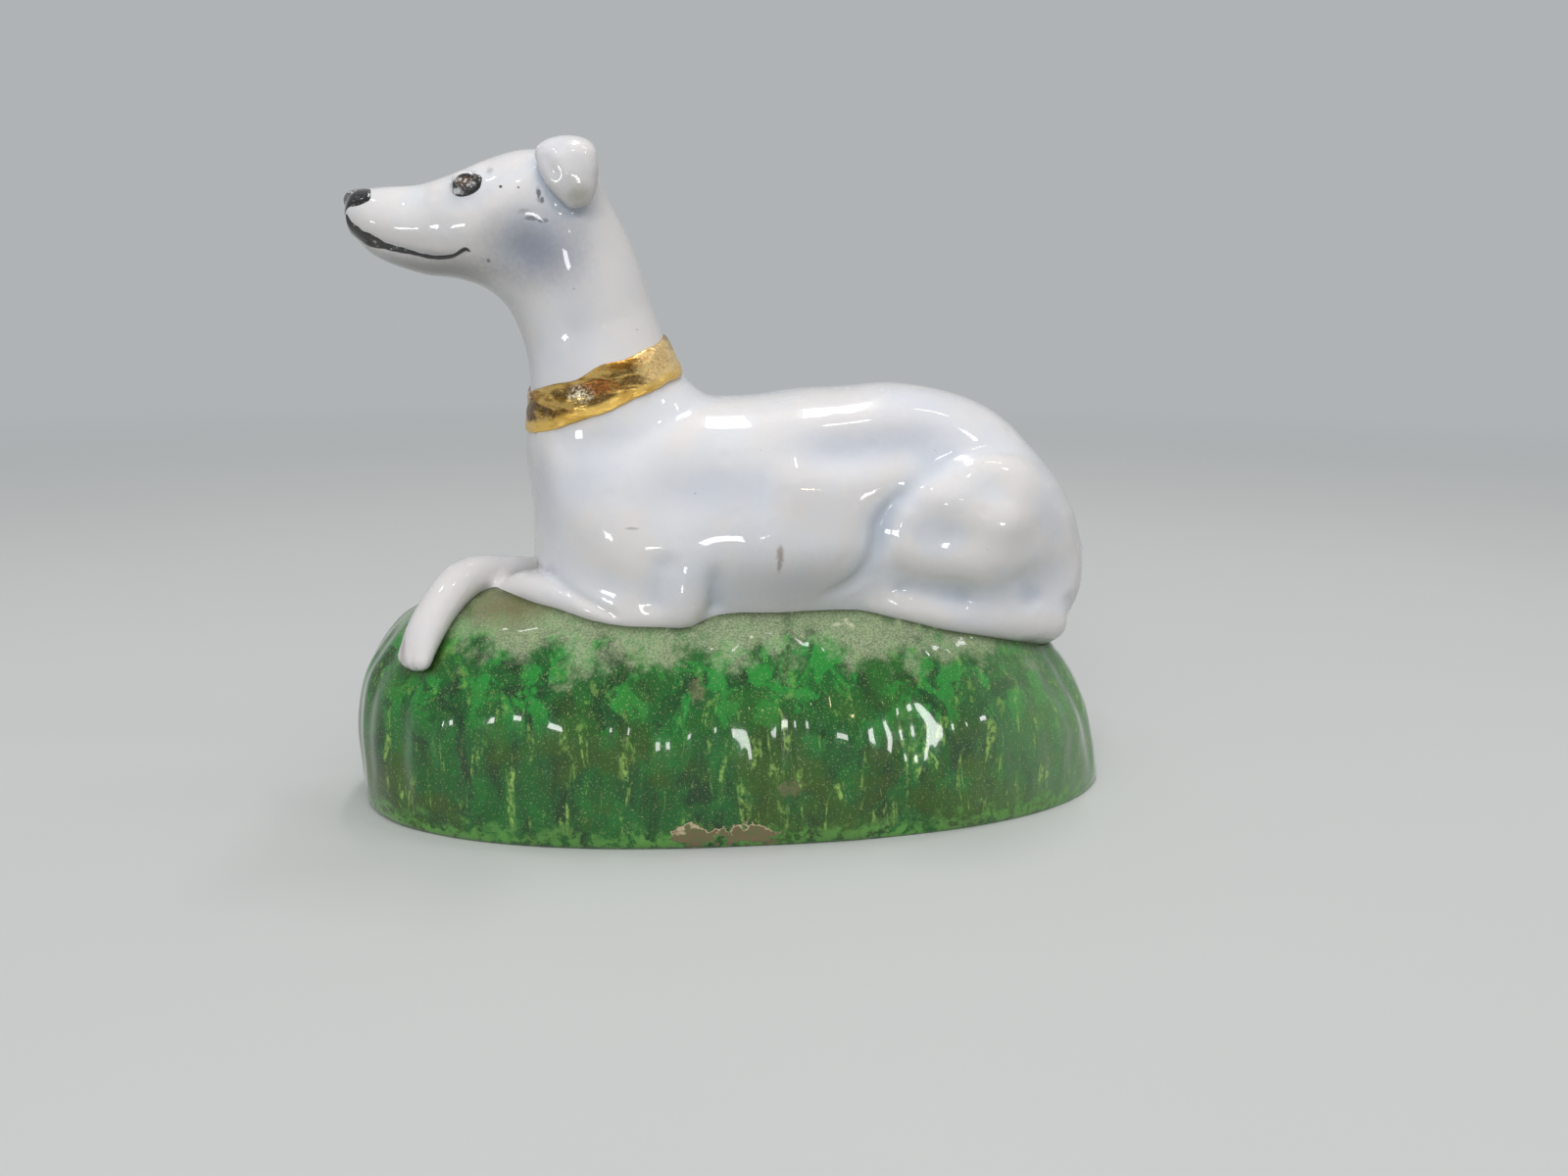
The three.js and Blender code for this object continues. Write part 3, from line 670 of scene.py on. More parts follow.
def trimRump(skin):
    # height gives how far back the middle reaches; what lies past that is drawn in, softly at the limit
    p = skin.points
    height, reach = np.array(rumpLine).T
    slope, curve = whiteBody["rumpRound"]
    over = p[:, 0] - np.interp(p[:, 2], height, reach) + slope * np.abs(p[:, 1]) + curve * p[:, 1] ** 2
    p[:, 0] -= 0.5 * (over + np.sqrt(over**2 + whiteBody["rumpSoft"])) * smoothStep(10.5, 13.5, p[:, 2])


def toeLines(skin, tip, heading, width):
    # three short grooves run back from the tip of a paw, side by side across it
    heading = unit(np.array(heading))
    across = unit(np.cross(heading, [0, 0, 1.0]))
    rel = skin.points - tip
    forward, aside = rel @ heading, rel @ across
    reach = smoothStep(-2.2, -0.6, forward) * (np.linalg.norm(rel, axis=1) < 3.4)
    cut = sum(bell(aside - k * width / 4, 0.17) for k in (-1, 0, 1))
    facing = smoothStep(-0.3, 0.2, skin.normals()[:, 2] + skin.normals() @ heading)
    skin.push(-whiteBody["toeCut"] * cut * reach * facing)


def glazedBody():
    neckStub = loft(neckFrames(0, 2.6, 40), [0.5, 0.1], 96)
    limbs = [upperArm(-1), upperArm(1), chestMass(-1), chestMass(1), leftForearm(), rightForearm()]
    skin = fuse([torso(), neckStub, *limbs, *hindLeg(-1), *hindLeg(1), tail()], whiteBody["voxel"])
    skin.relax(6)
    skin.fillCreases(26, share=0.45, limit=1.1)
    # the clay was worked smooth over the breast, the elbows, the feet and the rump
    p = skin.points
    above = p[:, 2] - np.interp(p[:, 0], *np.array(forearmCrease).T)
    breast = smoothStep(-0.2, 1.0, above) * smoothStep(2.5, -1.5, p[:, 0]) * smoothStep(29, 25, p[:, 2])
    feet = smoothStep(8, 12, p[:, 0]) * smoothStep(21.5, 18, p[:, 2])
    rump = smoothStep(19, 23, p[:, 0])
    crossing = skin.spot((-16.4, -3.2, 18.4), (2.4, 2.6, 1.5))
    worked = np.maximum(np.maximum(breast, feet), np.maximum(0.6 * rump, crossing))
    skin.fillCreases(120, share=0.5, limit=2.2, where=worked)
    skin.soften(60, np.maximum(breast, 0.5 * rump))
    skin.soften(16, feet)
    trimRump(skin)
    skin.relax(6)
    skin.model(bodyMarks, [((x, 9.0, z), (wide, 6.0, tall), rise) for x, z, wide, tall, rise in bodySwells])
    for x, out, rise, heading, width in toeRows:
        toeLines(skin, onMound(x, out, rise)[:3], heading, width)
    skin.push(whiteBody["uneven"] * waves(skin.points, 6.5, 14, 3))  # the hand-worked clay under the glaze
    skin.relax(3)
    # how hollow the skin is, for the pooled glaze and painted shade in the material
    poolAndShade = skin.hollowness(60)
    p = skin.points
    p[:, 2] = np.maximum(p[:, 2], moundTop(p[:, 0], p[:, 1]) - whiteBody["bed"])
    return skin, poolAndShade


print("stage: body")
bodySkin, bodyPoolAndShade = glazedBody()
body = makeObject("glazed_body", bodySkin.points, bodySkin.quads, layers=[("poolAndShade", bodyPoolAndShade)])


# Head, ears and the neck down to the collar
whiteHead = {
    "voxel": 0.16,
    "eye": (-19.33, 3.05, 46.32),
    "eyeSize": (2.2, 1.3, 1.75),
    "eyeTilt": 8,
    "nose": onHead(0.985, 0, 0.768),
    "noseSize": (1.7, 2.05, 1.6),
    "earForward": {-1: 0, 1: 0.6},  # the right ear sits a little farther forward
    "uneven": 0.02,
}

# an ear, from its root over the fold to its tip: x, y, z, width, thickness
earRows = [
    (-12.8, 1.6, 47.4, 4.2, 2.2),
    (-12.55, 3.1, 48.65, 4.3, 2.1),
    (-12.4, 4.1, 48.1, 4.3, 2.3),
    (-12.1, 4.4, 47.0, 4.0, 2.3),
    (-11.8, 4.45, 46.0, 3.2, 2.0),
    (-11.55, 4.4, 45.15, 2.0, 1.5),
]

headMarks = [
    ([(-22.0, 45.6), (-20.6, 45.1), (-19.2, 45.0), (-17.9, 45.4)], 0.8, -0.1),  # under the eye
    ([(-21.2, 47.3), (-19.6, 47.9), (-17.8, 47.6)], 0.8, 0.1),  # brow
    ([(-27.3, 44.3), (-25.5, 43.7), (-23.4, 43.3), (-21.4, 43.2)], 0.9, 0.1),  # upper lip
    ([(-27.6, 43.4), (-26.0, 42.4), (-23.8, 41.8), (-21.8, 41.4), (-19.4, 41.7)], 0.3, -0.12),  # mouth
    ([(-13.9, 48.5), (-13.5, 47.4), (-12.6, 46.3)], 0.5, -0.12),  # fold of the ear
    ([(-13.1, 48.6), (-12.6, 47.5), (-11.9, 46.4)], 0.5, 0.1),
    ([(-25.0, 45.9), (-23.2, 45.6), (-21.8, 45.7)], 1.0, -0.08),  # along the nose
    ([(-16.5, 47.6), (-15.4, 46.6)], 1.2, -0.08),  # before the ear
]
headSwells = [
    ((-15.3, 4.6, 42.3), (2.3, 3.0, 2.0), -0.42),  # behind the cheek
    ((-18.2, 4.0, 43.6), (2.0, 2.6, 1.6), 0.12),  # cheek
]


def glazedHead():
    parts = [loft(neckFrames(2.75, 14, 120), [0.1, 0.8], 110)]
    for side, forward in whiteHead["earForward"].items():
        ear = [(x - forward, side * y, *rest) for x, y, *rest in earRows]
        parts.append(loft(spineFrames(ear, 40, (0, side, 1)), [0.5, 0.35]))
        x, y, z = whiteHead["eye"]
        parts.append(bead((x, side * y, z), whiteHead["eyeSize"], whiteHead["eyeTilt"]))
    parts.append(bead(whiteHead["nose"], whiteHead["noseSize"]))
    skin = fuse(parts, whiteHead["voxel"])
    skin.relax(5)
    skin.fillCreases(26, share=0.4, limit=0.7)
    p = skin.points
    # the ear's front edge melts into the cheek
    front = smoothStep(-12.0, -13.4, p[:, 0]) * smoothStep(-16.8, -15.8, p[:, 0])
    front *= smoothStep(44.6, 46, p[:, 2])
    skin.fillCreases(200, share=0.5, limit=1.5, where=front)
    skin.soften(14, front * smoothStep(2.4, 3.2, np.abs(p[:, 1])))
    skin.relax(3)
    skin.model(headMarks, headSwells)
    skin.push(whiteHead["uneven"] * waves(skin.points, 4.0, 14, 8))
    skin.relax(2)
    return makeObject("glazed_head", skin.points, skin.quads, layers=[("poolAndShade", skin.hollowness(36))])


print("stage: head")
head = glazedHead()


# Collar: a gilded strip laid round the neck
gilt = {
    "width": 2.9,
    "proud": 0.34,
    "sunk": 0.5,
    "tilt": 21.0,
    "roll": 5.0,
    "around": 420,
    "section": 56,
    "edgeWave": (0.09, 0.08),  # upper and lower edge
    "edgeTrim": (0.05, 0.04),
    "swell": 0.16,
    "fine": 0.02,
}


def giltCollar():
    # the neck's skin at a distance along the collar's axis, raised by a height profile that closes on itself
    angle = wholeTurn(gilt["around"])
    neck = sectionGrid(neckFrames(1.0, 5.0, 160), [0.1, 0.1], gilt["around"], 1)[0]
    a, b = math.radians(gilt["tilt"]), math.radians(gilt["roll"])
    axis = unit(np.array([-math.sin(a), -math.sin(b), math.cos(a)]))
    offset = (neck - np.array(onHead(0, 0, 0))) @ axis

    loop = wholeTurn(gilt["section"])
    across = signedPower(np.sin(loop), 0.62)  # from the lower edge, -1, to the upper, 1
    lift = np.cos(loop)
    ring = np.stack([np.cos(angle), np.sin(angle)], 1) * 5.5
    upper = gilt["width"] / 2 + gilt["edgeWave"][0] * waves(ring, 4.2, 10, 21) - gilt["edgeTrim"][0]
    lower = gilt["width"] / 2 + gilt["edgeWave"][1] * waves(ring, 3.6, 10, 22) - gilt["edgeTrim"][1]
    swell = 1 + gilt["swell"] * waves(ring, 5.0, 8, 23)
    place = across[:, None] * np.where(across[:, None] > 0, upper, lower)
    dome = np.where(lift > 0, np.abs(lift) ** 0.55, -np.abs(lift) ** 0.4)[:, None]
    height = np.where(dome > 0, gilt["proud"] * dome * swell, gilt["sunk"] * dome)

    skin = np.empty((len(loop), len(angle), 3))
    for k in range(len(angle)):  # one crossing line of the neck at a time
        for c in range(3):
            skin[:, k, c] = np.interp(place[:, k], offset[:, k], neck[:, k, c])
    outward = unit(np.cross(np.roll(skin, -1, 1) - np.roll(skin, 1, 1), axis))
    outward *= np.sign(np.sum(outward * (skin - skin.mean((0, 1))), -1, keepdims=True))
    points = skin + outward * height[..., None]
    points += outward * (gilt["fine"] * waves(points, 0.9, 14, 24) * (lift > 0)[:, None])[..., None]
    points = points.reshape(-1, 3)
    quads = gridQuads(len(loop), len(angle), rowsClose=True)
    if insideOut(points, quads):
        quads = quads[:, ::-1]
    return makeObject("gilt_collar", points, quads, layers=[("across", np.repeat(across, len(angle)))])


print("stage: collar")
collar = giltCollar()


def nearestGap(points, others, reach):
    # distance from each point to the nearest of the others, in blocks of whole arrays
    gap = np.full(len(points), reach, float)
    for start in range(0, len(points), 400):
        block = points[start:start + 400]
        low, high = block.min(0) - reach, block.max(0) + reach
        close = others[np.all((others > low) & (others < high), 1)]
        if len(close):
            square = (block**2).sum(1)[:, None] + (close**2).sum(1) - 2 * block @ close.T
            gap[start:start + 400] = np.minimum(reach, np.sqrt(np.maximum(square.min(1), 0)))
    return gap


def moundRings(rise, angle, grow=0, lift=0):
    # level rings: half sizes * cos^(2/power) and sin^(2/power) * (1 - rise^s)^(1/s), drawn in at the foot
    c, s = np.cos(angle)[None], np.sin(angle)[None]
    shoulder = shoulderAt(c * c)
    reach = (1 - rise[:, None] ** shoulder) ** (1 / shoulder)
    planX = signedPower(c, 2 / grass["planPower"]) * reach
    planY = signedPower(s, 2 / grass["planPower"]) * reach
    halfLength, halfWidth = figure["moundLength"] / 2 + grow, figure["moundWidth"] / 2 + grow
    z = rise[:, None] * (crownAt(planX * halfLength) + grow)
    low = np.maximum(1 - z / grass["footRise"], 0) ** 2
    rear = np.maximum(planX, 0)
    x = planX * (halfLength - grass["footInset"] * low * (1 - rear)) - grass["rearLean"] * z * rear**2
    y = planY * (halfWidth - grass["footInset"] * low)
    return np.stack([x, y, z + lift], -1)


def grassBlades(z, steps, girth):
    # grooves down the mound like blades of grass: bells round it, leaning and bending with height
    rng = np.random.default_rng(5)
    count = grass["grooves"]
    stray = grass["grooveStray"]
    place = (np.arange(count) + rng.uniform(-stray, stray, count)) * (girth / count)
    depth = rng.uniform(0.45, 1.15, count)
    lean = rng.normal(0.0, grass["grooveLean"], count)
    groove = np.zeros(z.shape)
    for k in range(count):
        bend = lean[k] * z + grass["grooveBend"] * np.sin(z * 0.42 + 6.3 * depth[k])
        gap = (steps[None] - place[k] - bend + girth / 2) % girth - girth / 2
        groove = np.maximum(groove, depth[k] * bell(gap, grass["grooveWidth"]))
    return groove


def greenMound():
    # rings from the hollow's top down, under the foot and up to the crown, with even steps round the foot
    fine = np.linspace(0, 2 * math.pi, 8001)
    foot = moundRings(np.array([0.0]), fine)[0]
    run = np.concatenate([[0], np.cumsum(np.linalg.norm(np.diff(foot, axis=0), axis=1))])
    steps = np.linspace(0, run[-1], grass["around"], endpoint=False)
    angle = np.interp(steps, run, fine)

    outer = moundRings(np.sin(np.linspace(0, 0.9985, grass["levels"]) * math.pi / 2), angle)
    outer[0, :, 2] = 0
    inner = np.sin(np.linspace(0.98, 0, grass["hollowLevels"]) * math.pi / 2)
    hollow = moundRings(inner, angle, -grass["wall"], grass["wall"] - grass["crownWall"])
    floor = hollow[-1].copy()
    level = np.clip(hollow[:, :, 2:3] / np.maximum(hollow[:, :, 2:3] - hollow[-1:, :, 2:3], 1e-6), 0, 1)
    hollow = np.where(hollow[..., 2:3] < 0, floor + (hollow - floor) * level, hollow)
    hollow[..., 2] = np.maximum(hollow[..., 2], 0)

    z = outer[..., 2]
    share = z / crownAt(outer[..., 0])
    groove = grassBlades(z, steps, run[-1])
    groove *= smoothStep(0.02, 0.25, share) * smoothStep(0.92, 0.62, share)
    unevenness = waves(outer, 5.5, 16, 31)
    fineness = waves(outer * np.array([1, 1, 0.35]), 1.5, 18, 32)
    gap = nearestGap(outer.reshape(-1, 3), bodySkin.points, 1.6).reshape(z.shape)

    # the skin is moved along its own outward direction
    push = -grass["sunk"] - grass["grooveDepth"] * groove + grass["uneven"] * unevenness
    push += grass["fine"] * fineness * smoothStep(0.03, 0.15, share)
    beltShare, beltWide, beltDeep = grass["belt"]
    push -= beltDeep * bell(share - beltShare, beltWide)
    push = np.minimum(push, -0.005) * smoothStep(0.0, 0.05, share) + grass["sunk"] * bell(gap, grass["seam"])
    n = unit(np.cross(np.roll(outer, -1, 1) - np.roll(outer, 1, 1), np.gradient(outer, axis=0)))
    points = outer + n * push[..., None]
    rimRise, rimDeep = grass["rimRound"]
    points[..., :2] -= unit(outer[..., :2]) * (rimDeep * bell(z, rimRise))[..., None]
    points[0, :, 2] = 0

    low, high = hollow[0].mean(0), points[-1].mean(0)
    skin, quads, fans = closedSkin(np.concatenate([hollow, points]), low, high)
    blank = np.zeros(hollow[..., 0].size)
    layers = [
        (key, np.concatenate([blank, values.ravel(), [0, values[-1].mean()]]))
        for key, values in (("joint", bell(gap, grass["joint"])), ("share", share))
    ]
    return makeObject("green_mound", skin, quads, fans, layers=layers)


print("stage: mound")
mound = greenMound()


# Black enamel, laid on the glaze with a fine brush
enamel = {
    "thick": 0.07,
    "sunk": 0.12,  # its back lies this far inside the glaze
    "lean": 0.4,  # how much its thickness turns towards the brush
    "dropFrom": 12,
    "eye": (-19.33, 46.28),
    "eyeWide": 1.12,
    "eyeTall": 0.74,
    "eyeTurn": 0.42,
    "nose": (-27.4, 0.0, 45.15),
    "noseWay": (-1.0, 0.0, 0.25),
    "noseWide": 2.0,
    "noseTall": 1.2,
    "mouth": [
        (-28.0, 44.3), (-27.85, 43.7), (-27.4, 43.1), (-26.7, 42.65), (-25.95, 42.35), (-25.0, 42.05),
        (-23.8, 41.8), (-22.8, 41.55), (-21.8, 41.42), (-20.6, 41.53), (-19.6, 41.97), (-19.3, 41.8),
    ],
    "mouthWide": [0.1, 0.2, 0.4, 0.42, 0.31, 0.22, 0.16, 0.13, 0.12, 0.11, 0.12, 0.05],
    "strokeSteps": 110,
    "strokeRagged": 0.1,
}


def fromSide(side, centre):  # a place beside the head, with directions right, up and towards the viewer there
    right = np.array([-side, 0.0, 0.0])
    above = np.array([0.0, 0.0, 1.0])
    return np.array([centre[0], 0.0, centre[1]]), right, above, np.cross(right, above)


def dropOn(u, v, view):
    # a grid of places, right and up on a plane in front of the head, dropped straight back on it
    origin, right, above, toward = view
    sheet = flatSheet("draft", u, v)
    start = origin + toward * enamel["dropFrom"]
    sheet.matrix_world = standing(right, above, toward, start * mm)
    wrap = sheet.modifiers.new("drop", "SHRINKWRAP")
    wrap.target = head
    wrap.wrap_method = "PROJECT"
    wrap.use_project_z = True
    wrap.use_negative_direction, wrap.use_positive_direction = True, False
    bpy.context.view_layer.update()
    points = finishedMesh(sheet)[1]
    bpy.data.objects.remove(sheet)
    return (points / mm @ np.stack([right, above, toward]) + start).reshape(*u.shape, 3)


def frontAndBack(skin, around, dome, toward):
    # the enamel's face, raised by dome, and its back, a little inside the glaze
    outward = unit(np.cross(around, np.gradient(skin, axis=0)))
    outward *= np.sign(outward @ toward)[..., None]
    outward = unit(outward + enamel["lean"] * toward)
    return skin + outward * dome[..., None], skin - outward * enamel["sunk"]


def sealed(name, rings):
    points, quads, fans = closedSkin(rings, rings[0].mean(0), rings[-1].mean(0))
    if insideOut(points, quads):
        quads, fans = quads[:, ::-1], fans[:, ::-1]
    return makeObject(name, points, quads, fans)


def discOn(name, wide, tall, view, seed, power=2.0, ragged=0.05, turn=0.0):
    # rings of a slightly uneven oval, highest in the middle
    share = np.linspace(0.03, 1, 14)[:, None]
    angle = wholeTurn(96)
    uneven = 1 + ragged * waves(np.stack([np.cos(angle), np.sin(angle)], 1), 1.3, 8, seed)
    u = wide * share * signedPower(np.cos(angle), 2 / power) * uneven
    v = tall * share * signedPower(np.sin(angle), 2 / power) * uneven
    c, s = math.cos(turn), math.sin(turn)
    skin = dropOn(c * u - s * v, s * u + c * v, view)
    dome = enamel["thick"] * (1 - share**4) ** 0.5 * np.ones_like(u)
    front, back = frontAndBack(skin, np.roll(skin, -1, 1) - np.roll(skin, 1, 1), dome, view[3])
    return sealed(name, np.concatenate([front, back[::-1]]))


def lineOn(name, path, widths, side):
    # cross sections of a brush stroke, one after another along its middle line
    count = enamel["strokeSteps"]
    line = curveThrough(path, count)
    half = curveThrough(np.c_[widths, np.zeros(len(widths))], count)[:, 0]
    fromEnd = np.minimum(np.arange(count), np.arange(count)[::-1])
    half = half * (1 + enamel["strokeRagged"] * waves(line, 0.9, 10, 41))
    half = half * np.sqrt(np.clip(fromEnd / 4, 0.02, 1))  # round ends
    way = unit(np.gradient(line, axis=0))
    normal = np.stack([-way[:, 1], way[:, 0]], 1)
    across = np.linspace(-1, 1, 15)
    grid = line[:, None] + (normal * half[:, None])[:, None] * across[None, :, None]
    view = fromSide(side, (0, 0))
    skin = dropOn(-side * grid[..., 0], grid[..., 1], view)
    dome = enamel["thick"] * (1 - across**4) ** 0.5 * np.ones((count, 1))
    front, back = frontAndBack(skin, np.gradient(skin, axis=1), dome, view[3])
    return sealed(name, np.concatenate([front, back[:, ::-1]], axis=1))


def enamelEye(word, side):
    view = fromSide(side, enamel["eye"])
    turn = -enamel["eyeTurn"] * side
    return discOn("enamel_eye_" + word, enamel["eyeWide"], enamel["eyeTall"], view, 50 + side, turn=turn)


def enamelMouth(word, side):
    return lineOn("enamel_mouth_" + word, enamel["mouth"], enamel["mouthWide"], side)


def enamelNose():  # laid over the muzzle's end from in front and a little above
    toward = unit(np.array(enamel["noseWay"]))
    right = np.array([0.0, -1.0, 0.0])
    view = (np.array(enamel["nose"]), right, np.cross(toward, right), toward)
    return discOn("enamel_nose", enamel["noseWide"], enamel["noseTall"], view, 61, 2.3, 0.04)


print("stage: enamel")
sides = (("left", -1), ("right", 1))
painted = [paint(word, side) for paint in (enamelEye, enamelMouth) for word, side in sides]
painted.append(enamelNose())


class Value:
    # a shader socket that can stand in a sum
    def __init__(self, nodes, socket):
        self.nodes, self.socket = nodes, socket

    def math(self, operation, first, second, **more):
        return self.nodes.node("ShaderNodeMath", {"operation": operation, **more}, {0: first, 1: second})

    def __add__(self, other):
        return self.math("ADD", self, other)

    def __sub__(self, other):
        return self.math("SUBTRACT", self, other)

    def __rsub__(self, other):
        return self.math("SUBTRACT", other, self)

    def __mul__(self, other):
        return self.math("MULTIPLY", self, other)

    __radd__, __rmul__ = __add__, __mul__

    def held(self):  # kept between 0 and 1
        return self.math("ADD", self, 0.0, use_clamp=True)

    def upTo(self, other):
        return self.math("MAXIMUM", self, other)


class Nodes:
    def __init__(self, tree):
        self.tree = tree

    def fill(self, socket, value):
        if isinstance(value, Value):
            self.tree.links.new(value.socket, socket)
        else:
            socket.default_value = value

    def node(self, kind, settings, inputs, output=0):
        made = self.tree.nodes.new(kind)
        for key, value in settings.items():
            setattr(made, key, value)
        for key, value in inputs.items():
            self.fill(made.inputs[key], value)
        return Value(self, made.outputs[output])

    def ray(self, word):  # 1 for a ray of that kind
        return self.node("ShaderNodeLightPath", {}, {}, f"Is {word} Ray")


class Finish(Nodes):
    # a material whose colour is laid in layers; noise and cells have a scale per millimetre
    def __init__(self, name, colour):
        self.material = bpy.data.materials.new(name)
        self.material.use_nodes = True
        super().__init__(self.material.node_tree)
        self.shader = self.tree.nodes["Principled BSDF"]
        self.colour = colour
        coords = self.node("ShaderNodeTexCoord", {}, {}, "Object")
        self.place = self.node("ShaderNodeMapping", {}, {"Vector": coords, "Scale": (1 / mm, 1 / mm, 1 / mm)})

    def set(self, **inputs):
        for key, value in inputs.items():
            self.fill(self.shader.inputs[key.replace("_", " ")], value)

    def layer(self, name):  # a number kept on the mesh's points
        return self.node("ShaderNodeAttribute", {"attribute_name": name}, {}, "Fac")

    def stretched(self, scale, turn=(0, 0, 0)):
        return self.node("ShaderNodeMapping", {}, {"Vector": self.place, "Scale": scale, "Rotation": turn})

    def noise(self, scale, detail=3.0, roughness=0.5, place=None, distortion=0.0):
        inputs = {"Scale": scale, "Detail": detail, "Roughness": roughness, "Distortion": distortion}
        return self.node("ShaderNodeTexNoise", {}, {"Vector": place or self.place, **inputs}, "Fac")

    def cells(self, scale):
        return self.node("ShaderNodeTexVoronoi", {}, {"Vector": self.place, "Scale": scale}, "Distance")

    def ease(self, value, low, high):  # 0 at low, 1 at high, an S between
        inputs = {"Value": value, "From Min": low, "From Max": high}
        return self.node("ShaderNodeMapRange", {"interpolation_type": "SMOOTHSTEP"}, inputs)

    def mix(self, share, first, second):
        return self.node("ShaderNodeMix", {"data_type": "RGBA"}, {0: share, 6: first, 7: second}, 2)

    def lay(self, share, shade):  # a shade over the colour so far
        self.colour = self.mix(share, self.colour, shade)

    def vector(self, operation, first, second, output=0):
        return self.node("ShaderNodeVectorMath", {"operation": operation}, {0: first, 1: second}, output)

    def spot(self, centre, size, soft=0.5, ragged=0.0, grain=3.0):
        # 1 inside a blob round a place, 0 outside: distance in sizes of its own along each axis
        away = self.vector("DIVIDE", self.vector("SUBTRACT", self.place, centre), size)
        far = self.node("ShaderNodeVectorMath", {"operation": "LENGTH"}, {0: away}, "Value")
        if ragged:
            far = far + ragged * (self.noise(grain, 4.0) - 0.5)
        return 1 - self.ease(far, 1 - soft, 1 + soft)

    def relief(self, height, depth):  # depth in millimetres for a height of 1
        return self.node("ShaderNodeBump", {}, {"Strength": 1.0, "Distance": depth * mm, "Height": height})


def tone(red, green, blue):  # written as on a screen, 0 to 255
    def linear(c):
        c = c / 255
        return c / 12.92 if c <= 0.04045 else ((c + 0.055) / 1.055) ** 2.4
    return (linear(red), linear(green), linear(blue), 1.0)


glaze = {
    "body": tone(221, 222, 226),
    # pooled glaze and painted shade in the hollows
    "poolAndShade": tone(168, 180, 198),
    "warm": tone(230, 221, 214),
    "cool": tone(203, 210, 223),
    "pinhole": tone(140, 138, 138),
    "speck": tone(50, 44, 46),
    "smudge": tone(112, 110, 112),
    "stain": tone(110, 84, 66),
}

# marks under the glaze, and painted shade: place, half size, softness, strength, colour, raggedness
bodyStainsAndShade = [
    # painted shade in the hollows before the haunch and along the ribs, with glaze pooled there, and painted
    # shade under the belly
    ((9.0, -7.5, 28.7), (5.4, 3.4, 1.3), 0.95, 0.35, tone(168, 176, 194), 0.4),
    ((-2.0, -9.0, 25.6), (6.5, 3.0, 1.2), 0.95, 0.2, tone(176, 182, 196), 0.4),
    ((3.5, -9.0, 18.4), (7.0, 3.0, 2.1), 0.95, 0.5, tone(140, 147, 150), 0.3),
    # stains and smudges in the glaze
    ((2.2, -9.3, 20.9), (0.25, 1.0, 0.55), 0.7, 0.55, glaze["stain"], 1.6),
    ((2.15, -9.3, 20.0), (0.16, 1.0, 0.45), 0.6, 0.5, glaze["stain"], 1.6),
    ((-8.35, -9.6, 22.9), (0.5, 1.2, 0.1), 0.4, 0.4, glaze["smudge"], 0.8),
    ((-15.0, -3.5, 18.9), (1.6, 1.6, 0.5), 0.7, 0.5, glaze["stain"], 1.2),
    ((-25.1, -7.4, 13.8), (0.22, 1.6, 1.1), 0.7, 0.4, glaze["stain"], 1.0),
    ((22.5, -6.8, 13.2), (1.2, 1.6, 0.5), 0.8, 0.35, glaze["smudge"], 1.0),
]
headStainsAndShade = [
    ((-17.76, -3.7, 47.3), (0.22, 1.2, 0.22), 0.8, 0.5, glaze["smudge"], 1.2),
    ((-16.96, -4.1, 46.16), (0.11, 1.2, 0.11), 0.3, 0.9, glaze["speck"], 0.6),
    ((-15.73, -4.2, 46.11), (0.07, 1.2, 0.07), 0.3, 0.8, glaze["speck"], 0.6),
    ((-14.36, -4.4, 45.75), (0.16, 1.2, 0.42), 0.5, 0.75, glaze["speck"], 2.2),
    ((-14.13, -4.4, 45.33), (0.12, 1.2, 0.2), 0.5, 0.7, glaze["speck"], 1.6),
    ((-15.37, -4.4, 44.5), (0.45, 1.2, 0.16), 0.6, 0.4, glaze["smudge"], 2.0),
    ((-14.8, -4.4, 44.05), (0.5, 1.2, 0.16), 0.5, 0.65, glaze["speck"], 2.4),
    ((-14.05, -4.4, 43.92), (0.3, 1.2, 0.13), 0.5, 0.65, glaze["speck"], 2.0),
    ((-18.11, -3.6, 41.21), (0.13, 1.2, 0.13), 0.4, 0.7, glaze["speck"], 0.8),
    # painted shadow under the ear's tip, and painted shade under the jaw, in the hollow behind the cheek and
    # on the neck
    ((-11.5, -5.3, 45.5), (0.75, 1.0, 0.7), 0.8, 0.6, tone(146, 146, 128), 0.8),
    ((-22.0, -1.8, 40.6), (4.8, 2.8, 0.95), 0.8, 0.6, tone(144, 141, 142), 0.7),
    ((-14.9, -4.4, 41.9), (2.6, 2.0, 2.1), 0.95, 0.85, tone(130, 136, 152), 0.4),
    ((-12.0, -5.0, 39.0), (1.6, 2.0, 2.6), 0.95, 0.25, tone(160, 168, 184), 0.4),
]


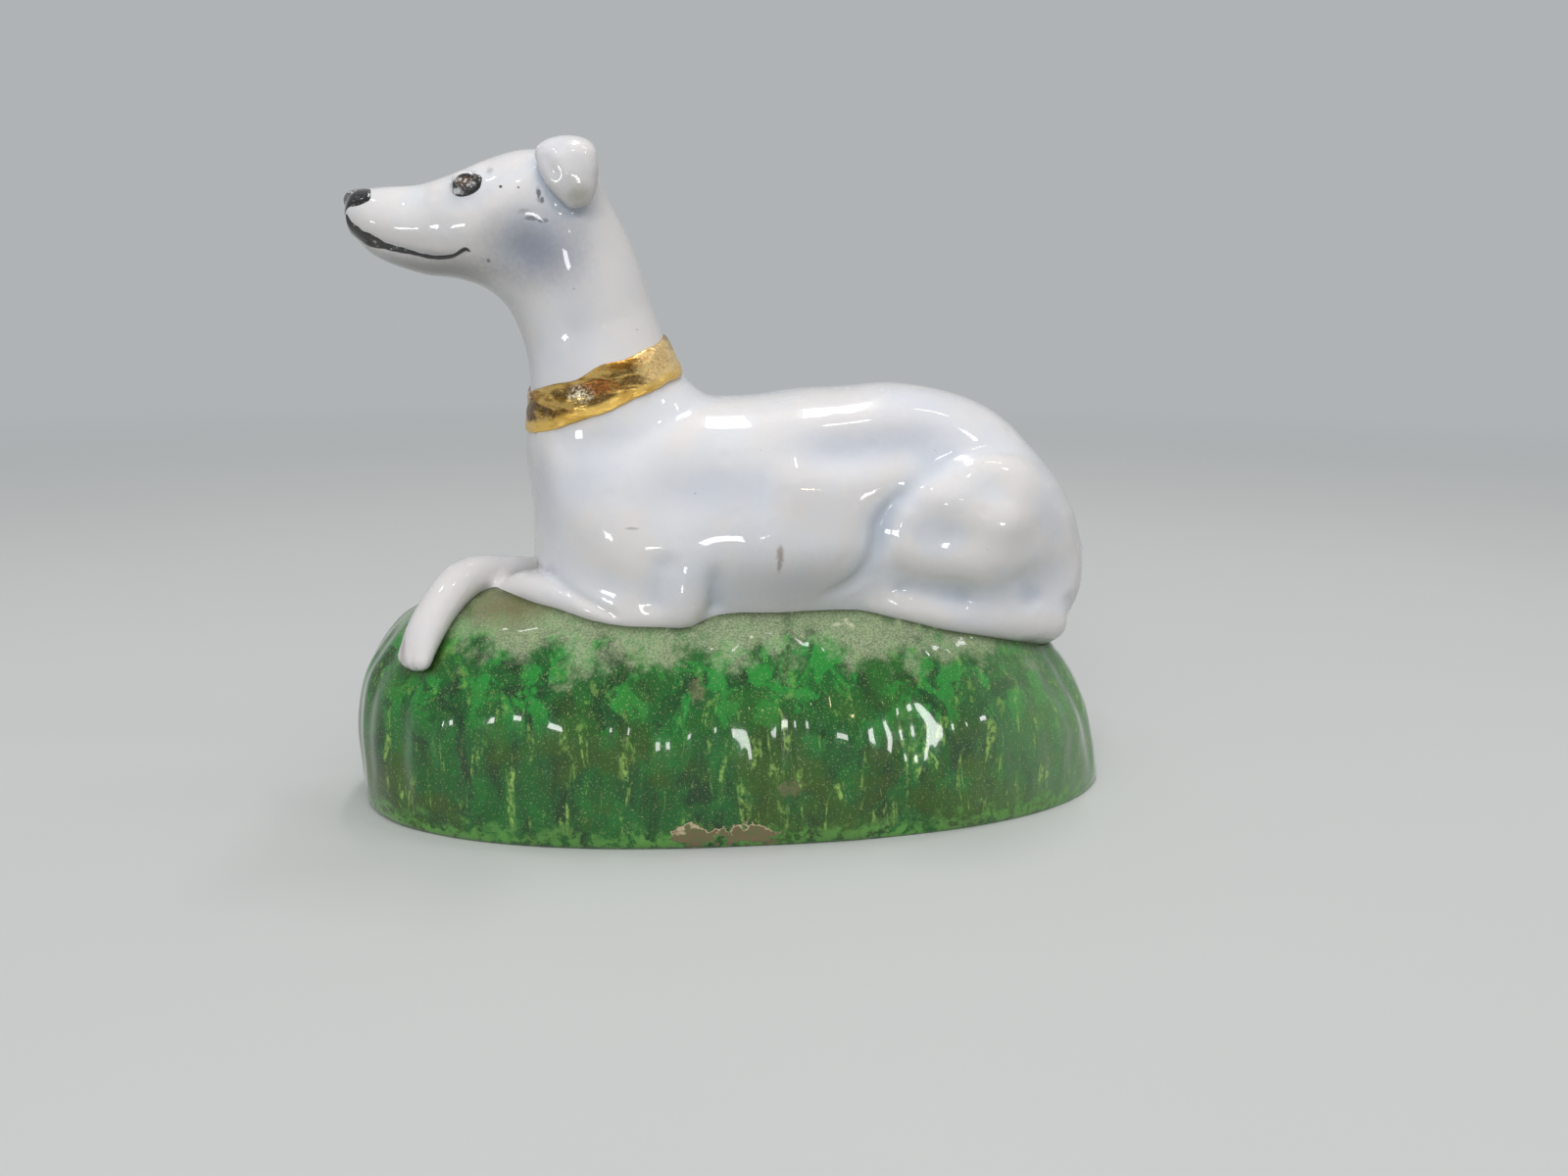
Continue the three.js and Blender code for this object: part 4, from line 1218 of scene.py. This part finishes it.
def whiteGlaze(name, stainsAndShade):
    f = Finish(name, glaze["body"])
    poolAndShade = f.layer("poolAndShade")
    cloud = f.noise(0.5, 4.0, 0.6)
    f.lay(0.45 * f.ease(f.noise(0.17, 3.0, 0.55) - 0.8 * poolAndShade, 0.44, 0.7), glaze["warm"])
    turned = f.stretched((1, 1, 1), (0.4, 0.9, 0.2))
    f.lay(0.35 * f.ease(f.noise(0.2, 3.0, 0.55, turned), 0.46, 0.7), glaze["cool"])
    # darker bluish grey in the hollows: glaze pooled thick there, and painted shade
    f.lay(0.6 * f.ease(poolAndShade + 0.35 * (cloud - 0.5), 0.0, 0.5), glaze["poolAndShade"])
    pinhole = (1 - f.ease(f.cells(0.9), 0.04, 0.09)) * f.ease(f.noise(0.35, 2.0), 0.54, 0.66)
    crater = (1 - f.ease(f.cells(0.42), 0.06, 0.3)) * f.ease(f.noise(0.21, 1.0), 0.48, 0.6)
    f.lay(0.3 * pinhole, glaze["pinhole"])
    for centre, size, soft, strength, shade, ragged in stainsAndShade:
        f.lay(strength * f.spot(centre, size, soft, ragged), shade)
    height = 0.3 * f.noise(0.45, 2.0, 0.5) + 0.03 * f.noise(2.6, 3.0, 0.55) - 0.25 * pinhole - 0.2 * crater
    f.set(Base_Color=f.colour, Normal=f.relief(height, 0.15))
    f.set(Roughness=0.2 + 0.1 * f.ease(cloud, 0.4, 0.7) + 0.2 * pinhole)
    f.set(Coat_Weight=1.0, Coat_Roughness=0.03, Coat_IOR=1.5, IOR=1.5, Specular_IOR_Level=0.12)
    f.set(Subsurface_Weight=0.12, Subsurface_Radius=(0.9, 0.8, 0.7), Subsurface_Scale=0.0006)
    return f.material


grassGlaze = {
    "deep": tone(6, 60, 16),
    "middle": tone(14, 96, 28),
    "light": tone(30, 136, 46),
    "olive": tone(56, 88, 0),
    "rear": tone(140, 184, 130),
    "streak": tone(150, 192, 92),
    "dust": tone(164, 174, 140),
    "earth": tone(116, 98, 62),
    "speck": tone(176, 186, 124),
    "joint": tone(44, 58, 20),
    "rim": tone(104, 166, 74),
    "scar": tone(132, 122, 92),
    "chip": tone(92, 74, 40),
    "clay": tone(206, 188, 150),
}

# broken places: place, half size, softness, grain
footChips = [
    ((-4.2, -13.7, 1.2), (1.7, 2.0, 0.9), 0.06, 1.5),
    ((-0.2, -13.7, 1.1), (1.9, 2.0, 0.95), 0.06, 1.5),
]
grassScars = [
    ((2.36, -13.6, 4.6), (0.85, 2.0, 0.6), 0.3, 2.2),
    ((-3.9, -12.3, 11.7), (0.45, 2.0, 0.8), 0.5, 2.2),
]
clayRim = 0.3  # of pale clay, above the dark break of a chip


def broken(f, places, drop=0.0):
    first, second = (
        f.spot((x, y, z - drop), size, soft, 2.8, grain) for (x, y, z), size, soft, grain in places
    )
    return first.upTo(second)


def greenGlaze():
    f = Finish("green_glaze", grassGlaze["deep"])
    joint, share = f.layer("joint"), f.layer("share")
    tall = f.stretched((1, 1, 0.3))
    low = 1 - f.ease(share, 0.3, 0.7)
    cloud = low * f.noise(0.55, 5.0, 0.6, tall, 0.4) + (1 - low) * f.noise(0.34, 5.0, 0.6, None, 0.9)
    f.lay(f.ease(cloud, 0.36, 0.56), grassGlaze["middle"])
    bright = f.ease(share, 0.4, 0.6) * (1 - f.ease(share, 0.84, 0.94))
    flake = f.ease(f.noise(0.5, 6.0, 0.62, f.stretched((1, 1, 0.7), (0.2, 0.1, 0)), 0.6), 0.49, 0.58)
    f.lay((0.3 + 0.7 * bright) * flake, grassGlaze["light"])
    f.lay(0.75 * (f.ease(f.noise(0.17, 3.0, 0.6), 0.46, 0.6) * (0.25 + 0.75 * low)), grassGlaze["olive"])
    # the glaze is paler and thinner at the rear end
    f.lay(0.4 * f.spot((28.0, -4.0, 8.0), (9.0, 16.0, 12.0), 0.8, 0.3), grassGlaze["rear"])
    # runs of pale glaze between the darker ones, most of them low down
    gaps = f.ease(f.noise(2.2, 4.0, 0.65), 0.38, 0.56)
    drip = f.ease(f.noise(1.0, 4.0, 0.62, f.stretched((1, 1, 0.22)), 0.6), 0.55, 0.68) * gaps
    drip = drip * (0.35 + 0.65 * low) * f.ease(share, 0.02, 0.1)
    f.lay(drip.held(), grassGlaze["streak"])
    # dust and sand caught in the glaze round the dog
    ragged = f.noise(0.3, 6.0, 0.62) + 0.25 * f.noise(0.9, 3.0, 0.6)
    sandy = f.ease(share + 0.62 * ragged - 0.39, 0.72, 0.86)
    grains = f.ease(f.noise(6.5, 3.0, 0.8), 0.42, 0.58)
    f.lay(sandy * (0.4 + 0.5 * grains), grassGlaze["dust"])
    brown = f.spot((-17.6, -6.0, 17.0), (3.4, 3.0, 1.6), 0.7, 0.8)
    f.lay(brown * (0.35 + 0.5 * grains), grassGlaze["earth"])
    f.lay(0.5 * f.ease(f.noise(8.0, 2.0, 0.6), 0.6, 0.68), grassGlaze["speck"])
    rim = 1 - f.ease(share + 0.3 * (f.noise(0.55, 5.0, 0.7) - 0.5), 0.03, 0.12)
    f.lay(0.8 * rim * f.ease(f.noise(1.3, 3.0, 0.6), 0.4, 0.56), grassGlaze["rim"])
    f.lay(0.75 * joint * f.ease(f.noise(0.8, 2.0), 0.25, 0.45), grassGlaze["joint"])
    f.lay(0.6 * broken(f, grassScars) * (0.4 + 0.6 * grains), grassGlaze["scar"])
    chips = broken(f, footChips)
    crumbs = f.mix(f.ease(f.noise(2.0, 4.0, 0.7), 0.42, 0.6), grassGlaze["chip"], grassGlaze["olive"])
    f.lay(chips, f.mix(0.8 * broken(f, footChips, clayRim), grassGlaze["clay"], crumbs))
    height = 0.5 * f.noise(0.9, 3.0, 0.55, tall) + 0.12 * f.noise(3.0, 3.0, 0.6)
    height = height + 0.05 * sandy * grains - 0.5 * chips
    f.set(Base_Color=f.colour, Normal=f.relief(height, 0.11))
    f.set(Roughness=0.2 + 0.25 * sandy * grains + 0.4 * chips + 0.1 * rim)
    f.set(Coat_Weight=1 - 0.55 * sandy * grains, Coat_Roughness=0.05, Coat_IOR=1.5)
    f.set(IOR=1.5, Specular_IOR_Level=0.2)
    return f.material


gold = {
    "dull": tone(176, 124, 48),
    "bright": tone(246, 206, 122),
    # brown clay under thin gold, and painted dark reflection
    "clay": tone(78, 52, 20),
    "thin": tone(178, 148, 88),
    "copper": tone(206, 112, 52),
    # painted sparkle of lamps
    "paintedSparkle": tone(250, 238, 206),
    # painted reflection of lamps at the right end
    "right": tone(255, 222, 158),
    # painted reflection of the floor, along the lower edge
    "band": tone(248, 204, 98),
    "edge": tone(84, 56, 26),
}


def gildFinish():
    f = Finish("worn_gilding", gold["dull"])
    across = f.layer("across")
    along = f.stretched((0.4, 0.5, 1.5), (0, -0.37, 0))
    cloud = f.noise(0.9, 5.0, 0.62, along, 0.4)
    fine = f.noise(5.0, 4.0, 0.72)
    wander = across + 0.55 * (f.noise(0.5, 3.0) - 0.5)
    f.lay(f.ease(cloud, 0.4, 0.58), gold["bright"])
    # the darker middle is painted dark reflection, and thin gold that lets the brown clay through, in streaks
    # along the strip
    middle = f.ease(wander, -0.6, -0.42) * (1 - f.ease(wander, 0.6, 0.85))
    thin = middle * f.ease(f.noise(0.7, 5.0, 0.64, along, 0.8), 0.42, 0.56)
    # painted reflection of lamps: the right end is paler gold and less metal
    right = f.spot((-5.4, -4.0, 34.4), (2.3, 4.0, 2.2), 0.35, 0.5)
    thin = thin * (1 - 0.8 * right)
    f.lay(0.9 * thin, gold["clay"])
    f.lay(0.75 * thin * f.ease(fine, 0.5, 0.62), gold["thin"])
    copper = f.spot((-10.6, -6.0, 32.6), (1.5, 2.0, 0.55), 0.4, 1.6) * middle
    f.lay(0.7 * copper * f.ease(fine, 0.4, 0.6), gold["copper"])
    # painted sparkle: pale flecks of lamp light on the gold
    paintedSparkle = f.spot((-11.9, -6.0, 32.1), (0.8, 2.0, 0.5), 0.5, 1.6) * f.ease(fine, 0.46, 0.56)
    f.lay(paintedSparkle, gold["paintedSparkle"])
    f.lay(right * (0.3 + 0.7 * f.ease(fine, 0.4, 0.56)), gold["right"])
    # a painted reflection of the pale floor along the lower edge, and a dark line here and there along both
    # edges
    band = 1 - f.ease(wander, -0.62, -0.4)
    f.lay(0.6 * band, gold["band"])
    f.lay(0.6 * f.ease(across * across, 0.92, 1.0) * f.ease(cloud, 0.45, 0.6), gold["edge"])
    f.set(Base_Color=f.colour, Metallic=1 - 0.25 * thin - 0.4 * right.upTo(band))
    f.set(Roughness=0.13 + 0.12 * thin + 0.12 * fine)
    f.set(Normal=f.relief(0.8 * f.noise(0.8, 3.0, 0.5, along) + 0.12 * fine, 0.2))
    return f.material


black = {
    "paint": tone(14, 12, 12),
    "brown": tone(96, 70, 50),
    "grey": tone(112, 112, 122),
    # painted sparkle
    "enamelSparkle": tone(222, 216, 206),
    "glint": tone(236, 236, 238),
}


def blackEnamel():
    f = Finish("black_enamel", black["paint"])
    cloud = f.noise(1.7, 5.0, 0.66)
    eye = f.spot((-19.4, -3.8, 46.5), (0.75, 1.5, 0.5), 0.3, 1.2)  # painted reflection: lighter brown and grey patches in the eye
    # worn enamel, and painted reflection in the eye as lighter patches
    wearAndSheen = (0.5 * f.ease(cloud, 0.56, 0.66) + 0.9 * eye * f.ease(cloud, 0.4, 0.54)).held()
    f.lay(wearAndSheen, f.mix(f.ease(f.noise(1.1), 0.44, 0.56), black["brown"], black["grey"]))
    # painted sparkle: pale flecks in the worn places and in the eye
    f.lay(f.ease(f.noise(4.0, 4.0, 0.7), 0.5, 0.56) * wearAndSheen, black["enamelSparkle"])
    f.lay(0.8 * f.spot((-20.0, -3.8, 45.8), (0.34, 1.5, 0.24), 0.5, 2.2), black["glint"])
    f.set(Base_Color=f.colour, Roughness=0.14 + 0.16 * wearAndSheen, Normal=f.relief(f.noise(2.0, 4.0, 0.6), 0.09))
    f.set(Coat_Weight=0.8, Coat_Roughness=0.05, IOR=1.5)
    return f.material


print("stage: materials")
pieces = [
    (body, whiteGlaze("white_glaze_body", bodyStainsAndShade), "white_glaze"),
    (head, whiteGlaze("white_glaze_head", headStainsAndShade), "white_glaze"),
    (mound, greenGlaze(), "green_glaze"),
    (collar, gildFinish(), "gilding"),
]
enamelBlack = blackEnamel()
pieces += [(obj, enamelBlack, "black_enamel") for obj in painted]
for obj, material, slot in pieces:
    obj.data.materials.append(material)
    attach(obj, "root")
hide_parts("torso", "left_foreleg", "right_foreleg", "left_hind_leg", "right_hind_leg", "tail")
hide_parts("neck_and_head", "left_ear", "right_ear")
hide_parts("collar_band")
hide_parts("mound_base")


# Studio: a pale table, a pale grey beyond it, and soft lamps
studio = {
    "floor": tone(198, 200, 198),
    "floorCloud": tone(204, 206, 204),
    "bounce": tone(124, 127, 124),  # what the floor throws back on the object's underside
    "behind": tone(176, 179, 181),  # what the camera sees past the table
    "melt": ((0, -100, 0), (330, 330, 330), 0.6),  # the floor shows as such inside this: place, size, softness
    "sky": (0.94, 0.97, 1.0, 1),
    "skyLight": 0.32,
    "bulb": 0.05,
    "target": (0.0, 0.0, 0.02),
}

# broad lamps, which the glaze doesn't mirror: place, width and height in metres, power
broadLamps = {
    "overhead": ((-0.04, -0.2, 0.6), (0.34, 0.3), 1.15),
    "front": ((-0.16, -0.6, 0.34), (0.4, 0.3), 1.55),
}

# the window that the back mirrors: place, target, width and height, power
window = ((0.045, 0.07, 0.42), (0.045, -0.005, 0.03), (0.04, 0.15), 0.4)

# small bright lamps, mirrored in the glaze: place, width and height in metres, share of the power, tint
bulbs = [
    ((-0.3, -0.33, 0.05), (0.06, 0.045), 2.4, (1, 1, 1)),
    ((0.0, -0.46, 0.04), (0.05, 0.04), 1.6, (1, 1, 1)),
    ((0.24, -0.38, 0.05), (0.06, 0.045), 2.4, (1, 1, 1)),
    ((0.14, -0.46, 0.22), (0.016, 0.016), 0.4, (1.0, 0.78, 0.5)),
    ((0.12, -0.26, 0.52), (0.03, 0.03), 0.8, (1, 1, 1)),
    ((-0.22, -0.1, 0.5), (0.03, 0.03), 0.8, (1, 1, 1)),
    ((0.26, -0.12, 0.34), (0.03, 0.03), 0.8, (1, 1, 1)),
    ((0.21, -0.01, 0.42), (0.024, 0.1), 1.0, (1.0, 0.86, 0.66)),
    ((-0.26, 0.36, 0.3), (0.05, 0.03), 0.3, (1, 1, 1)),
]

# solved from the photograph: place, and the directions right, down and forward, in the CAD frame
photo = {
    "sensor": 36.0,
    "lens": 25.45,
    "near": 0.004,
    "place": (-6.385, -86.98, 37.743),
    "right": (0.99374784, -0.11125162, 0.00939773),
    "down": (-0.01762189, -0.23940903, -0.97075887),
    "forward": (0.11024839, 0.96452392, -0.23987267),
}


def table():
    # a flat grid, x by y in metres
    obj = flatSheet("table", *np.meshgrid(np.linspace(-6, 6, 13), np.linspace(-3, 9, 13)), scale=1)
    f = Finish("table_paper", studio["floor"])
    f.lay(f.noise(0.01, 3.0), studio["floorCloud"])
    seen = f.ray("Camera").upTo(f.ray("Glossy")).upTo(f.ray("Transmission"))
    far = seen * (1 - f.spot(*studio["melt"]))
    dark = tone(0, 0, 0)
    f.set(Base_Color=f.mix(far, f.mix(seen, studio["bounce"], f.colour), dark))
    f.set(Roughness=0.7, Specular_IOR_Level=0.0)
    f.set(Emission_Color=f.mix(far, dark, studio["behind"]), Emission_Strength=1.0)
    obj.data.materials.append(f.material)


def lamp(name, place, target, size, power, tint=(1, 1, 1), mirrored=True):
    light = bpy.data.lights.new(name, "AREA")
    light.shape = "RECTANGLE"
    light.size, light.size_y = size
    light.energy = power
    light.color = tint
    obj = addObject(name, light)
    back = unit(np.asarray(place, float) - np.asarray(target, float))
    side = unit(np.cross([0, 0, 1.0], back))
    obj.matrix_world = standing(side, np.cross(back, side), back, place)
    obj.visible_glossy = mirrored


def studioLight():
    world = bpy.data.worlds.new("studio")
    world.use_nodes = True
    n = Nodes(world.node_tree)
    sky = n.node("ShaderNodeBackground", {}, {"Color": studio["sky"], "Strength": studio["skyLight"]})
    behind = n.node("ShaderNodeBackground", {}, {"Color": studio["behind"], "Strength": 1.0})
    seen = n.ray("Camera").upTo(n.ray("Glossy"))
    choice = n.node("ShaderNodeMixShader", {}, {0: seen, 1: sky, 2: behind})
    n.fill(n.tree.nodes["World Output"].inputs["Surface"], choice)
    bpy.context.scene.world = world
    for name, (place, size, power) in broadLamps.items():
        lamp(name, place, studio["target"], size, power, mirrored=False)
    lamp("window", *window)
    for k, (place, size, share, tint) in enumerate(bulbs):
        lamp(f"bulb_{k}", place, studio["target"], size, share * studio["bulb"], tint)


def camera():
    view = bpy.data.cameras.new("photo_camera")
    view.sensor_width = photo["sensor"]
    view.lens = photo["lens"]
    view.clip_start = photo["near"]
    obj = addObject("photo_camera", view)
    right, down, forward, place = (np.array(photo[key]) for key in ("right", "down", "forward", "place"))
    obj.matrix_world = standing(right, -down, -forward, place * mm)
    bpy.context.scene.camera = obj


print("stage: studio")
table()
studioLight()
camera()
bpy.context.scene.view_settings.view_transform = "Standard"
